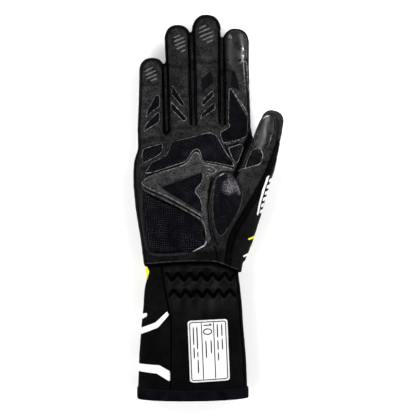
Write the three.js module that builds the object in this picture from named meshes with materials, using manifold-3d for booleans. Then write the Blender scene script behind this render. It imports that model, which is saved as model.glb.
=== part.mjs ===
// A long-cuffed karting glove for the right hand, lying on its back with the palm up.
// Lengths are millimetres. X runs across to the thumb, Y to the fingertips, and Z up out of the palm.
// The glove is one hollow skin, offset from a few lofted tubes, and it is cut into panels along its seams.

import * as THREE from 'three';
import { mergeVertices } from 'three/addons/utils/BufferGeometryUtils.js';
import Module from 'manifold-3d';

const wasm = await Module();
wasm.setup();

// Cloth and seams
const wall = 1.8; // leather or knit with its lining
const seamGap = 0.3; // clearance between two pieces that are sewn together
const seamInset = 2.6; // the palm leather stops this far inside the outline
const padEdge = 0.5; // a pad stops this far inside the leather that it lies on
const padThickness = 1.0;
const thenarPadThickness = 2.2;
const capThickness = 1.0;
const labelThickness = 1.0;

// Palm
const palmLength = 113; // from the wrist seam to the finger roots
const palmDepth = 34;
const restFlat = 1.6; // how far the glove's own weight presses its back flat

// Fingers, from the little one to the index. lean: the tip's shift sideways, of the width at the root.
const fingerGap = 0.9;
const fingers = [
  { name: 'little', length: 58, rootWidth: 24.2, tipWidth: 20.6, depth: 18.5, lean: 0.03 },
  { name: 'ring', length: 84.2, rootWidth: 20.8, tipWidth: 20.8, depth: 19.5, lean: -0.075 },
  { name: 'middle', length: 92.3, rootWidth: 22.4, tipWidth: 23.8, depth: 21, lean: -0.065 },
  { name: 'index', length: 81.4, rootWidth: 22.8, tipWidth: 21.6, depth: 20, lean: -0.055 },
];
const fingerCurl = 9; // how far the fingertips rise off the table

// Thumb
const thumbLength = 109;
const thumbRootWidth = 37;
const thumbTipWidth = 19.5;
const thumbTipDepth = 16.8;
const thumbStripWidth = 4.6;

// Cuff
const cuffLength = 108.8; // from the wrist seam to the hem
const cuffTuck = 7; // the cuff runs up inside the hand by this much
const cuffWall = 1.5;
const cuffSideInset = 2.2; // the front panel stops this far inside the outline on the thumb's side
const hemWidth = 88.2;
const hemDepth = 31;
const hemHeight = 9.7;
const hemThickness = 1.0;
const gatherDepth = 1.0; // how deep the elastic pulls the cloth between two puffs
const gathers = 8; // puffs across the front

// Label
const labelWidth = 30.4;
const labelHeight = 50;
const labelCorner = 1.8;
const labelTilt = 1.6; // degrees

// Shape tables. Lengths are shares of the named size that each comment gives.

// along: of palmLength. left, right: of palmWidth. depth, hollow: of palmDepth. drop: of knuckleSlant.
const palmSections = [
  { along: -0.13, left: 0.426, right: 0.41, depth: 0.89, hollow: 0, drop: 0 },
  { along: 0.0, left: 0.426, right: 0.412, depth: 0.89, hollow: 0, drop: 0 },
  { along: 0.13, left: 0.449, right: 0.465, depth: 0.96, hollow: 0.03, drop: 0 },
  { along: 0.28, left: 0.473, right: 0.485, depth: 1.0, hollow: 0.08, drop: 0 },
  { along: 0.42, left: 0.5, right: 0.495, depth: 1.0, hollow: 0.12, drop: 0 },
  { along: 0.58, left: 0.521, right: 0.5, depth: 0.97, hollow: 0.12, drop: 0 },
  { along: 0.74, left: 0.526, right: 0.508, depth: 0.9, hollow: 0.08, drop: 0.3 },
  { along: 0.87, left: 0.521, right: 0.52, depth: 0.77, hollow: 0.03, drop: 0.7 },
  { along: 0.96, left: 0.51, right: 0.52, depth: 0.65, hollow: 0, drop: 1 },
  { along: 1.025, left: 0.482, right: 0.485, depth: 0.4, hollow: 0, drop: 1 },
];
const knuckleSlant = 0.15; // drop of the palm's end on the little finger's side, of palmLength
const handSquareness = 2.6;
const hollowReach = 0.5; // half-width of the hollow of the palm, of the palm's half-width

// along: of the finger's length. full: of the width and depth that taper from root to tip.
const fingerSections = [
  { along: -0.3, full: 0.98 },
  { along: 0.1, full: 1.01 },
  { along: 0.42, full: 0.985 },
  { along: 0.66, full: 1.0 },
];
const fingerDepths = { root: 1.04, tip: 0.9 }; // of the finger's depth
const fingerHeight = 0.52; // the finger's middle line above the table, of its depth
const curlBend = 1.5; // above 1, a finger rises more towards its tip
const tipSteps = 3; // rings in the round of a tip
const tipOpening = 0.12; // share of a step that is left flat at the very tip
const tipRoundness = 0.8; // below 1, a tip is blunter than a ball
const fingerSquareness = 2.25;

// along, across, up, rise: of thumbLength, with along measured down the middle. full: of the tapering width.
const thumbSections = [
  { along: -0.16, across: -0.05, up: -0.15, rise: -0.01, full: 0.86 },
  { along: 0.0, across: 0.0, up: 0.0, rise: 0.0, full: 0.99 },
  { along: 0.2, across: 0.076, up: 0.189, rise: 0.012, full: 1.0 },
  { along: 0.42, across: 0.157, up: 0.39, rise: 0.038, full: 0.96 },
  { along: 0.62, across: 0.228, up: 0.574, rise: 0.07, full: 0.935 },
  { along: 0.77, across: 0.264, up: 0.72, rise: 0.094, full: 0.93 },
  { along: 0.9, across: 0.3, up: 0.854, rise: 0.104, full: 0.88 },
];
// across: of palmWidth. along: of palmLength. height, depth: of palmDepth.
const thumbRoot = { across: 0.325, along: 0.229, height: 0.56, depth: 0.94 };
const thumbSquareness = 2.1;
const thumbBend = 0.06; // the thumb's direction is taken over this share of its length to each side

// along: of cuffLength, down from the wrist seam. flare: 0 at the wrist, 1 at the hem. puff: of gatherDepth.
const cuffSections = [
  { along: 0.034, flareLeft: -0.25, flareRight: -0.02, puff: 0 },
  { along: 0.064, flareLeft: -0.05, flareRight: 0.02, puff: -0.9 },
  { along: 0.095, flareLeft: 0.1, flareRight: 0.08, puff: 0.6 },
  { along: 0.13, flareLeft: 0.22, flareRight: 0.14, puff: 1.0 },
  { along: 0.165, flareLeft: 0.3, flareRight: 0.2, puff: 0.6 },
  { along: 0.195, flareLeft: 0.34, flareRight: 0.24, puff: -0.9 },
  { along: 0.235, flareLeft: 0.34, flareRight: 0.3, puff: 1.0 },
  { along: 0.3, flareLeft: 0.34, flareRight: 0.38, puff: 0.55 },
  { along: 0.42, flareLeft: 0.52, flareRight: 0.48, puff: 0.12 },
  { along: 0.66, flareLeft: 0.88, flareRight: 0.76, puff: 0 },
  { along: 1.0, flareLeft: 1.0, flareRight: 1.0, puff: 0 },
];
const cuffSettle = 8; // the cuff comes down to the table this many times faster than it narrows
// The places of the cuff loop's points at the sides and on the back, on a loop of half-width 1
const cuffSideRises = [0.38, 0, -0.38];
const cuffBackPlaces = [-0.9, -0.72, -0.45, -0.15, 0.15, 0.45, 0.72, 0.9];
// Gathers start at this height of the loop and are full a little higher.
const gatherHeights = { start: 0.45, full: 0.8 };
const crestSink = 0.4; // how far the crests of the gathers move down, of gatherDepth
const valleyDepth = 0.8; // the depth of the rows of elastic, of gatherDepth

// The seam of the cuff's front panel on the little finger's side. along: of cuffLength. across: of palmWidth.
const cuffSeam = [
  { along: -0.1, across: -0.29 },
  { along: 0.1, across: -0.262 },
  { along: 0.275, across: -0.225 },
  { along: 0.375, across: -0.194 },
  { along: 0.8, across: -0.194 },
  { along: 1.1, across: -0.208 },
];
const labelCentre = { across: 0.134, along: 0.61 }; // of palmWidth and cuffLength
const labelReach = 0.56; // the cloth under the label, to each side, of labelHeight

// The side seams. hand: height, of palmDepth. knuckles: where the seam starts to fall, of palmLength.
const sideSeam = { hand: 0.5, knuckles: 0.6 };
const cuffSideSeam = 0.45; // of palmDepth
// The palm leather under the finger roots: how far up its own outline goes, of palmLength
const leatherTop = { side: 0.8, corner: 0.86, littleRoot: 0.9, root: 0.98 };
const stripOverlap = 0.1; // a finger's leather starts this far below its crotch, of palmLength
const thumbTop = 0.92; // above this share of palmLength the thumb's leather follows the thumb's own edge
// The strips between the fingers. start: of palmLength. tip: of the tip's width. height: of the finger's.
const gussetEnds = { start: 0.88, tip: 0.55, height: 0.55 };

// Plan outlines on the hand: pairs of across, of palmWidth, and along, of palmLength.

// The seam round the ball of the thumb, from the web down to the wrist
const thumbSeam = [
  [0.505, 0.925],
  [0.452, 0.864],
  [0.402, 0.749],
  [0.367, 0.674],
  [0.299, 0.69],
  [0.234, 0.682],
  [0.17, 0.631],
  [0.13, 0.545],
  [0.121, 0.444],
  [0.142, 0.33],
  [0.181, 0.179],
  [0.215, 0.043],
  [0.226, -0.16],
];
// The thumb's seam to its stretch strip, from near the tip down to the wrist
const thumbSideSeam = [
  [0.727, 0.896],
  [0.684, 0.803],
  [0.631, 0.71],
  [0.579, 0.62],
  [0.509, 0.52],
  [0.422, 0.398],
  [0.334, 0.283],
  [0.288, 0.179],
  [0.268, 0.043],
  [0.27, -0.16],
];
// The lower edge of the hand, from the little finger's side to the thumb's
const wristEdge = [
  [-1, -0.014],
  [-0.408, -0.005],
  [-0.033, 0.014],
  [0.168, 0.026],
  [0.238, 0.01],
  [0.404, -0.055],
  [1, -0.06],
];
// The seam across the back of the thumb's root
const thumbBackSeam = [
  [0.515, 1.6],
  [0.515, 0.9],
  [0.54, 0.75],
  [0.6, 0.62],
  [1.4, 0.4],
];
const pads = [
  {
    name: 'knuckle_pad',
    outline: [
      [-0.419, 0.691],
      [-0.365, 0.749],
      [-0.235, 0.801],
      [-0.197, 0.892],
      [-0.042, 0.932],
      [0.125, 0.968],
      [0.192, 0.95],
      [0.266, 0.844],
      [0.355, 0.725],
      [0.201, 0.753],
      [0.084, 0.771],
      [0.052, 0.844],
      [0.007, 0.86],
      [-0.055, 0.781],
      [-0.228, 0.727],
    ],
  },
  {
    name: 'side_pad',
    outline: [
      [-0.443, 0.853],
      [-0.275, 0.894],
      [-0.275, 0.837],
      [-0.303, 0.81],
      [-0.452, 0.745],
    ],
  },
  {
    name: 'heel_pad',
    outline: [
      [-0.438, 0.548],
      [-0.153, 0.434],
      [0.048, 0.335],
      [0.089, 0.271],
      [0.107, 0.194],
      [-0.004, 0.136],
      [-0.367, 0.113],
      [-0.412, 0.136],
    ],
  },
  {
    name: 'centre_pad',
    outline: [
      [-0.284, 0.576],
      [0.07, 0.683],
      [0.062, 0.607],
      [0.014, 0.553],
      [0.054, 0.502],
      [0.072, 0.401],
    ],
  },
  {
    name: 'index_pad',
    outline: [
      [0.315, 1.287],
      [0.387, 1.204],
      [0.458, 1.077],
      [0.452, 0.957],
      [0.258, 0.9],
      [0.234, 0.968],
      [0.317, 1.016],
      [0.305, 1.133],
    ],
  },
  {
    name: 'web_pad',
    outline: [
      [0.304, 0.857],
      [0.409, 0.887],
      [0.43, 0.864],
      [0.383, 0.765],
      [0.364, 0.753],
      [0.346, 0.774],
    ],
  },
  {
    name: 'thumb_mesh_pad',
    outline: [
      [0.433, 0.727],
      [0.477, 0.827],
      [0.513, 0.85],
      [0.572, 0.849],
      [0.593, 0.806],
      [0.555, 0.744],
    ],
  },
  {
    name: 'thenar_pad',
    raised: true,
    outline: [
      [0.201, 0.645],
      [0.276, 0.672],
      [0.343, 0.645],
      [0.42, 0.523],
      [0.388, 0.416],
      [0.308, 0.3],
      [0.234, 0.243],
      [0.186, 0.337],
      [0.172, 0.487],
    ],
  },
];
// The patch on the thumb's tip: across, of thumbTipWidth, and along, of thumbLength
const thumbPatch = [
  [-0.36, 0.74],
  [-0.3, 0.87],
  [-0.1, 0.87],
  [0, 0.79],
  [-0.05, 0.69],
];
// The cap over the index fingertip: across, of the finger's root width, and along, of its length
const tipCap = [
  [-1, 0.6],
  [0.1, 0.55],
  [1, 0.72],
  [1, 1.2],
  [-1, 1.2],
];

// Worked out from the sizes above

const palmWidth =
  fingers.reduce((sum, f) => sum + f.rootWidth, 0) + fingerGap * (fingers.length - 1);
const longestFinger = Math.max(...fingers.map((f) => f.length));
const floorLift = hemThickness + seamGap; // the cuff lies on its binding
const wristFit = wall + seamGap; // the cuff fits inside the hand's skin
// How far below the wrist seam the hand's edge reaches at its lowest
const wristDrop = -Math.min(...wristEdge.map(([, along]) => along)) * palmLength;

// Cutters reach well past what they cut.
const headroom = palmDepth * 2.5;
const beyondFingers = palmLength + longestFinger * 1.2;
const belowWrist = -palmLength;
const cutMargin = 5;
const seamSteps = 8; // flats along a cutter's curved floor

const lerp = THREE.MathUtils.lerp;
const clamp = THREE.MathUtils.clamp;

// A value read between the rows of a table, by the column that says how far along it is.
function readTable(table, along, column) {
  const last = table.length - 1;
  if (along <= table[0].along) return table[0][column];
  if (along >= table[last].along) return table[last][column];
  const next = table.findIndex((row) => row.along >= along);
  const [a, b] = [table[next - 1], table[next]];
  return lerp(a[column], b[column], (along - a.along) / (b.along - a.along));
}

// Solids from triangles

function solidFromGeometry(geometry) {
  const bare = geometry.index ? geometry.toNonIndexed() : geometry.clone();
  bare.deleteAttribute('normal');
  bare.deleteAttribute('uv');
  const merged = mergeVertices(bare, 1e-4);
  return new wasm.Manifold(
    new wasm.Mesh({
      numProp: 3,
      vertProperties: merged.attributes.position.array,
      triVerts: new Uint32Array(merged.index.array),
    }),
  );
}

function geometryFromSolid(solid) {
  const mesh = solid.getMesh();
  const points = new Float32Array(mesh.numVert * 3);
  for (let i = 0; i < mesh.numVert; i += 1) {
    points.set(mesh.vertProperties.subarray(i * mesh.numProp, i * mesh.numProp + 3), i * 3);
  }
  const geometry = new THREE.BufferGeometry();
  geometry.setAttribute('position', new THREE.BufferAttribute(points, 3));
  geometry.setIndex(new THREE.BufferAttribute(mesh.triVerts, 1));
  const faceted = geometry.toNonIndexed();
  faceted.computeVertexNormals();
  return faceted;
}

// Joins rings of equal length into a closed skin. A fan round its middle closes the first and the last ring.
function loft(rings) {
  const size = rings[0].length;
  const points = rings.flat();
  const middle = (ring) =>
    ring.reduce((sum, p) => sum.add(p), new THREE.Vector3()).divideScalar(ring.length);
  const startPole = points.length;
  points.push(middle(rings[0]));
  const endPole = points.length;
  points.push(middle(rings[rings.length - 1]));
  const faces = [];
  for (let r = 0; r + 1 < rings.length; r += 1) {
    for (let i = 0; i < size; i += 1) {
      const a = r * size + i;
      const b = r * size + ((i + 1) % size);
      faces.push(a, b, b + size, a, b + size, a + size);
    }
  }
  const top = (rings.length - 1) * size;
  for (let i = 0; i < size; i += 1) {
    const j = (i + 1) % size;
    faces.push(startPole, j, i);
    faces.push(endPole, top + i, top + j);
  }
  const build = (triangles) => {
    const geometry = new THREE.BufferGeometry();
    geometry.setAttribute(
      'position',
      new THREE.Float32BufferAttribute(points.flatMap((p) => p.toArray()), 3),
    );
    geometry.setIndex(triangles);
    return solidFromGeometry(geometry);
  };
  const solid = build(faces);
  if (solid.volume() > 0) return solid;
  const turned = [];
  for (let i = 0; i < faces.length; i += 3) turned.push(faces[i], faces[i + 2], faces[i + 1]);
  return build(turned);
}

// Points round a rounded square of half-width and half-height 1, as pairs of across and rise.
function evenLoop(count, squareness) {
  const loop = [];
  for (let i = 0; i < count; i += 1) {
    const turn = (i / count) * 2 * Math.PI;
    const across = Math.cos(turn);
    const rise = Math.sign(Math.sin(turn)) * (1 - Math.abs(across) ** squareness) ** (1 / squareness);
    loop.push([across, Math.abs(rise) < 1e-6 ? 0 : rise]);
  }
  return loop;
}

// The same for the cuff, with a point on each crest and in each valley of the gathers along its front.
function cuffLoop(squareness) {
  const other = (value) => (1 - Math.abs(value) ** squareness) ** (1 / squareness);
  const front = [];
  for (let k = gathers - 1; k > -gathers; k -= 1) front.push([k / gathers, other(k / gathers)]);
  return [
    ...front,
    ...cuffSideRises.map((rise) => [-other(rise), rise]),
    ...cuffBackPlaces.map((across) => [across, -other(across)]),
    ...[...cuffSideRises].reverse().map((rise) => [other(rise), rise]),
  ];
}

// The outer skin's loops are finer than the lining's.
const outerLoops = {
  palm: evenLoop(32, handSquareness),
  finger: evenLoop(14, fingerSquareness),
  thumb: evenLoop(14, thumbSquareness),
};
const liningLoops = {
  palm: evenLoop(24, handSquareness),
  finger: evenLoop(12, fingerSquareness),
  thumb: evenLoop(12, thumbSquareness),
};
const loopsFor = (inset) => (inset > 0 ? liningLoops : outerLoops);
const cuffPoints = cuffLoop(handSquareness);

// One ring: a loop set about a centre, with its own half-widths to each side, flattened on the floor.
function ring({ loop, centre, side, up, left, right, above: top, below, floor, shape }) {
  return loop.map(([across, rise]) => {
    const point = centre
      .clone()
      .addScaledVector(side, across * (across > 0 ? right : left))
      .addScaledVector(up, rise * (rise > 0 ? top : below));
    if (shape) shape(point, across, rise);
    point.z = Math.max(point.z, floor);
    return point;
  });
}

const acrossHand = new THREE.Vector3(1, 0, 0);
const outOfPalm = new THREE.Vector3(0, 0, 1);

// The curve that every finger follows off the table
const liftAt = (y) => fingerCurl * clamp((y - palmLength) / longestFinger, 0, 1) ** curlBend;

// The palm's own tube. inset shrinks it inwards on all sides, and a negative inset grows it.
function palmRings(inset, floor) {
  return palmSections.map((row, index) => {
    const depth = row.depth * palmDepth;
    const end = index === palmSections.length - 1 ? inset : 0;
    return ring({
      loop: loopsFor(inset).palm,
      centre: new THREE.Vector3(0, row.along * palmLength - end, depth / 2),
      side: acrossHand,
      up: outOfPalm,
      left: row.left * palmWidth - inset,
      right: row.right * palmWidth - inset,
      above: depth / 2 - inset,
      below: depth / 2 - inset + restFlat,
      floor,
      shape: (point, across, rise) => {
        point.y -= row.drop * knuckleSlant * palmLength * Math.max(0, -across);
        if (rise > 0) {
          const dip = Math.exp(-((across / hollowReach) ** 2));
          point.z -= row.hollow * palmDepth * dip * rise;
        }
      },
    });
  });
}

// Where each finger's middle line runs at its root and at its tip
const fingerLines = fingers.map((finger, index) => {
  const before = fingers.slice(0, index).reduce((sum, f) => sum + f.rootWidth + fingerGap, 0);
  const rootX = -palmWidth / 2 + before + finger.rootWidth / 2;
  return { rootX, tipX: rootX + finger.lean * finger.rootWidth };
});

// How far round the ball of a tip each of its rings stands
const tipTurn = (step) => (step / (tipSteps + tipOpening)) * (Math.PI / 2);

// One finger's widths and depths along its length, with the round of the tip, as rows of plain numbers.
function fingerRows(index, inset) {
  const finger = fingers[index];
  const line = fingerLines[index];
  const row = (along, full) => {
    const share = clamp(along, 0, 1);
    return {
      y: palmLength + along * finger.length,
      x: lerp(line.rootX, line.tipX, share),
      half: (lerp(finger.rootWidth, finger.tipWidth, share) / 2) * full - inset,
      halfDepth: (finger.depth / 2) * full * lerp(fingerDepths.root, fingerDepths.tip, share) - inset,
    };
  };
  const rows = fingerSections.map((section) => row(section.along, section.full));
  const radius = finger.tipWidth / 2;
  const base = row(1 - radius / finger.length, 1);
  for (let step = 0; step <= tipSteps; step += 1) {
    const turn = tipTurn(step);
    const shrink = Math.cos(turn) ** tipRoundness;
    rows.push({
      y: base.y + (radius - inset) * Math.sin(turn),
      x: base.x,
      half: base.half * shrink,
      halfDepth: base.halfDepth * shrink,
    });
  }
  return rows;
}

function fingerRings(index, inset, floor) {
  return fingerRows(index, inset).map((row) =>
    ring({
      loop: loopsFor(inset).finger,
      centre: new THREE.Vector3(row.x, row.y, fingers[index].depth * fingerHeight + liftAt(row.y)),
      side: acrossHand,
      up: outOfPalm,
      left: row.half,
      right: row.half,
      above: row.halfDepth,
      below: row.halfDepth,
      floor,
    }),
  );
}

// The thumb's middle line at a share of its length
function thumbPoint(along) {
  const read = (column) => readTable(thumbSections, along, column) * thumbLength;
  return new THREE.Vector3(
    thumbRoot.across * palmWidth + read('across'),
    thumbRoot.along * palmLength + read('up'),
    thumbRoot.height * palmDepth + read('rise'),
  );
}

// The thumb's direction at a share of its length, with its side and its palm side square to it
function thumbFrame(along) {
  const tangent = thumbPoint(along + thumbBend).sub(thumbPoint(along - thumbBend)).normalize();
  const side = tangent.clone().cross(outOfPalm).normalize();
  return { tangent, side, up: side.clone().cross(tangent) };
}

// The thumb's rings as a centre, a frame, a half-width and a half-depth, with the round of the tip.
function thumbStations(inset) {
  const halfAt = (root, tip, row) => (lerp(root, tip, row.along) / 2) * row.full - inset;
  const stations = thumbSections.map((row) => ({
    centre: thumbPoint(row.along),
    frame: thumbFrame(row.along),
    half: halfAt(thumbRootWidth, thumbTipWidth, row),
    halfDepth: halfAt(thumbRoot.depth * palmDepth, thumbTipDepth, row),
  }));
  const last = stations[stations.length - 1];
  for (let step = 1; step <= tipSteps; step += 1) {
    const turn = tipTurn(step);
    const shrink = Math.cos(turn) ** tipRoundness;
    stations.push({
      centre: last.centre.clone().addScaledVector(last.frame.tangent, last.half * Math.sin(turn)),
      frame: last.frame,
      half: last.half * shrink,
      halfDepth: last.halfDepth * shrink,
    });
  }
  return stations;
}

function thumbRings(inset, floor) {
  return thumbStations(inset).map(({ centre, frame, half, halfDepth }) =>
    ring({
      loop: loopsFor(inset).thumb,
      centre,
      side: frame.side,
      up: frame.up,
      left: half,
      right: half,
      above: halfDepth,
      below: halfDepth,
      floor,
    }),
  );
}

// The whole hand, grown or shrunk by an offset, as one closed solid
function handSolid(inset) {
  const floor = Math.max(inset, 0);
  const parts = [loft(palmRings(inset, floor)), loft(thumbRings(inset, floor))];
  fingers.forEach((finger, index) => parts.push(loft(fingerRings(index, inset, floor))));
  return parts.reduce((sum, part) => sum.add(part));
}

// How far down the cuff a length is between the hand's lower edge and the hem, from 0 to 1
const belowHand = (down) => clamp((down - wristDrop) / (cuffLength - wristDrop), 0, 1);

// The cuff's half-width on one side, at a length down from the wrist seam
function cuffHalf(side, down) {
  const wrist = palmSections[0][side] * palmWidth - wristFit;
  if (down <= 0) return wrist;
  const column = side === 'left' ? 'flareLeft' : 'flareRight';
  const along = down / cuffLength;
  const first = cuffSections[0];
  const flare =
    along < first.along
      ? (along / first.along) * first[column]
      : readTable(cuffSections, along, column);
  return lerp(wrist, hemWidth / 2, flare);
}

function cuffRings(inset, from, to) {
  const stops = cuffSections
    .map((row) => row.along * cuffLength)
    .filter((down) => down > from + 1 && down < to - 1);
  return [from, ...stops, to].map((down) => {
    const share = belowHand(down);
    const bottom = lerp(wristFit, floorLift, clamp(share * cuffSettle, 0, 1));
    const top = lerp(palmSections[0].depth * palmDepth - wristFit, floorLift + hemDepth, share);
    const puff = readTable(cuffSections, down / cuffLength, 'puff');
    return ring({
      loop: cuffPoints,
      centre: new THREE.Vector3(0, -down, (top + bottom) / 2),
      side: acrossHand,
      up: outOfPalm,
      left: cuffHalf('left', down) - inset,
      right: cuffHalf('right', down) - inset,
      above: (top - bottom) / 2 - inset,
      below: (top - bottom) / 2 - inset + restFlat,
      floor: bottom + inset,
      shape: (point, across, rise) => {
        const { start, full } = gatherHeights;
        const reach = clamp((rise - start) / (full - start), 0, 1);
        const crest = (1 + Math.cos(across * gathers * Math.PI)) / 2;
        point.z += gatherDepth * reach * puff * (puff > 0 ? crest - crestSink : valleyDepth);
      },
    });
  });
}

const cuffSolid = (inset, from, to) => loft(cuffRings(inset, from, to));

// Cutters

// A plate of a plan outline, from one height to another
function prism(outline, low = -1, high = headroom) {
  const shape = new THREE.Shape(outline.map(([x, y]) => new THREE.Vector2(x, y)));
  const geometry = new THREE.ExtrudeGeometry(shape, { depth: high - low, bevelEnabled: false });
  geometry.translate(0, 0, low);
  return solidFromGeometry(geometry);
}

// All that lies above a height that changes along the hand, as a block with a curved floor
function above(heightAt, lift) {
  const profile = [];
  for (let i = 0; i <= seamSteps; i += 1) {
    const y = lerp(belowWrist, beyondFingers, i / seamSteps);
    profile.push([y, heightAt(y) + lift]);
  }
  const outline = [[belowWrist, headroom], ...profile, [beyondFingers, headroom]];
  const shape = new THREE.Shape(outline.map(([y, z]) => new THREE.Vector2(y, z)));
  const width = palmWidth * 2;
  const geometry = new THREE.ExtrudeGeometry(shape, { depth: width, bevelEnabled: false });
  // The profile is drawn in X and Y and pushed along Z: it is turned to stand in Y and Z.
  geometry.applyMatrix4(
    new THREE.Matrix4().set(0, 0, 1, -width / 2, 1, 0, 0, 0, 0, 1, 0, 0, 0, 0, 0, 1),
  );
  return solidFromGeometry(geometry);
}

// Where outlines meet, a cut can leave a speck apart from the panel: the panel is the largest body.
function panel(solid) {
  return solid.decompose().reduce((best, body) => (body.volume() > best.volume() ? body : best));
}

// Moves an open line sideways in plan, to its left as it is walked.
function shiftLine(line, distance) {
  return line.map((point, i) => {
    const from = new THREE.Vector2(...line[Math.max(i - 1, 0)]);
    const to = new THREE.Vector2(...line[Math.min(i + 1, line.length - 1)]);
    const step = to.sub(from).normalize();
    return [point[0] - step.y * distance, point[1] + step.x * distance];
  });
}

// From shares of the palm to millimetres
const onPalm = ([across, along]) => [across * palmWidth, along * palmLength];

// Heights of the seams between the front and the back of the hand
const fingerRootHeight = fingers[1].depth * fingerHeight;
const handSeamHeight = (y) => {
  const knuckle = clamp((y / palmLength - sideSeam.knuckles) / (1 - sideSeam.knuckles), 0, 1);
  return lerp(palmDepth * sideSeam.hand, fingerRootHeight, knuckle) + liftAt(y);
};
const thumbSeamHeight = (y) => {
  const share = clamp((y - thumbRoot.along * palmLength) / thumbLength, 0, 1);
  const tipRise = thumbSections[thumbSections.length - 1].rise * thumbLength;
  return thumbRoot.height * palmDepth + tipRise * share;
};
const aboveHand = (lift) => above(handSeamHeight, lift);
const aboveThumb = (lift) => above(thumbSeamHeight, lift);

// A finger's plan outline, inset from its edge, from just below its root to the tip
function fingerStrip(index, inset) {
  const [root, ...rows] = fingerRows(index, inset);
  const crotches = [index - 1, index].filter((k) => k >= 0 && k + 1 < fingers.length);
  const low = Math.min(...crotches.map((k) => crotch(k)[1])) - palmLength * stripOverlap;
  rows.unshift({ ...root, y: low });
  const left = rows.map((row) => [row.x - row.half, row.y]);
  const right = rows.map((row) => [row.x + row.half, row.y]).reverse();
  return [...left, ...right];
}

// Where two fingers part: the crotch between a finger and the next one
function crotch(index) {
  const rightEdge = fingerLines[index].rootX + fingers[index].rootWidth / 2;
  const end = palmSections[palmSections.length - 1];
  const x = rightEdge + fingerGap / 2;
  const slant = knuckleSlant * Math.max(0, -x / (end.left * palmWidth));
  return [x, (end.along - slant) * palmLength];
}

// The palm leather's plan outline, without the fingers
function palmOutline(inset) {
  const left = palmSections
    .map((row) => [-(row.left * palmWidth - inset), (row.along - row.drop * knuckleSlant) * palmLength])
    .filter(([, y]) => y < palmLength * leatherTop.side);
  const top = fingerLines.flatMap((line, index) => {
    const root = [line.rootX, palmLength * (index === 0 ? leatherTop.littleRoot : leatherTop.root)];
    if (index === fingers.length - 1) return [root];
    const [x, y] = crotch(index);
    return [root, [x, y - inset]];
  });
  const seam = shiftLine(thumbSeam.map(onPalm), seamInset - inset);
  return [
    [left[0][0], belowWrist],
    ...left.slice(1),
    [-palmWidth / 2 + inset, palmLength * leatherTop.corner],
    ...top,
    [palmWidth / 2 - inset, palmLength * leatherTop.root],
    ...seam,
    [seam[seam.length - 1][0], belowWrist],
  ];
}

function palmPrism(inset) {
  const strips = fingers.map((finger, index) => prism(fingerStrip(index, inset)));
  return strips.reduce((sum, strip) => sum.add(strip), prism(palmOutline(inset)));
}

// The thumb leather's plan outline: up its left edge, round the tip and down the seam to the stretch strip
function thumbOutline(grow) {
  const seam = shiftLine(thumbSeam.map(onPalm), seamGap - grow);
  const side = shiftLine(thumbSideSeam.map(onPalm), grow);
  const upper = thumbStations(seamInset - grow).filter(({ centre }) => centre.y > palmLength * thumbTop);
  const edge = (station, sign) => {
    const point = station.centre.clone().addScaledVector(station.frame.side, sign * station.half);
    return [point.x, point.y];
  };
  return [
    ...[...seam].reverse(),
    ...upper.map((station) => edge(station, -1)),
    ...[...upper].reverse().map((station) => edge(station, 1)),
    ...side,
  ];
}

function stripOutline(grow) {
  const line = thumbSideSeam.map(onPalm);
  const inner = shiftLine(line, seamGap - grow);
  const outer = shiftLine(line, seamGap + thumbStripWidth + grow);
  return [...inner, ...outer.reverse()];
}

// The strip between two fingers: the near sides of both, from their crotch to the round of each tip
const gussetSeamHeight = (y) => handSeamHeight(y) - fingerRootHeight * gussetEnds.height;
function gussetRegion(index, grow) {
  const low = palmLength * gussetEnds.start;
  const middle = (k, y) => {
    const share = clamp((y - palmLength) / fingers[k].length, 0, 1);
    return lerp(fingerLines[k].rootX, fingerLines[k].tipX, share);
  };
  const top = (k) => palmLength + fingers[k].length - fingers[k].tipWidth * gussetEnds.tip;
  const [near, far] = [top(index) + grow, top(index + 1) + grow];
  const step = Math.min(near, far);
  const notch = (middle(index, step) + middle(index + 1, step)) / 2 + (near > far ? grow : -grow);
  return prism([
    [middle(index, low) - grow, low - grow],
    [middle(index + 1, low) + grow, low - grow],
    [middle(index + 1, far) + grow, far],
    [notch, far],
    [notch, near],
    [middle(index, near) - grow, near],
  ]).intersect(above(gussetSeamHeight, -grow));
}

// The hand's skin, and the panels it is sewn from

const wristTrim = prism([
  ...wristEdge.map(onPalm),
  [palmWidth, belowWrist],
  [-palmWidth, belowWrist],
]);
const handSkin = handSolid(0).subtract(handSolid(wall)).subtract(wristTrim);

const palmLeather = palmPrism(seamInset).intersect(aboveHand(0));
const palmHole = palmPrism(seamInset - seamGap).intersect(aboveHand(-seamGap));
const thumbLeather = prism(thumbOutline(0)).intersect(aboveThumb(0)).subtract(palmHole);
const thumbHole = prism(thumbOutline(seamGap)).intersect(aboveThumb(-seamGap));
const thumbStrip = prism(stripOutline(0))
  .intersect(aboveThumb(0))
  .subtract(palmHole)
  .subtract(thumbHole);
const thumbStripHole = prism(stripOutline(seamGap)).intersect(aboveThumb(-seamGap));

const palmPanel = panel(handSkin.intersect(palmLeather));
const thumbFront = panel(handSkin.intersect(thumbLeather));
const thumbGusset = panel(handSkin.intersect(thumbStrip));
let rest = handSkin.subtract(palmHole).subtract(thumbHole).subtract(thumbStripHole);

const gussets = [];
for (let index = 0; index + 1 < fingers.length; index += 1) {
  const name = `gusset_${fingers[index].name}_${fingers[index + 1].name}`;
  gussets.push({ name, solid: panel(rest.intersect(gussetRegion(index, 0))) });
  rest = rest.subtract(gussetRegion(index, seamGap));
}

function thumbBackRegion(grow) {
  const line = shiftLine(thumbBackSeam.map(onPalm), grow);
  return prism([...line, onPalm([1.4, 1.6])]);
}
const thumbBack = panel(rest.intersect(thumbBackRegion(0)));
const backPanel = panel(rest.subtract(thumbBackRegion(-seamGap)));

// What lies on the leather: a layer that follows the skin, cut to a plan outline

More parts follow.
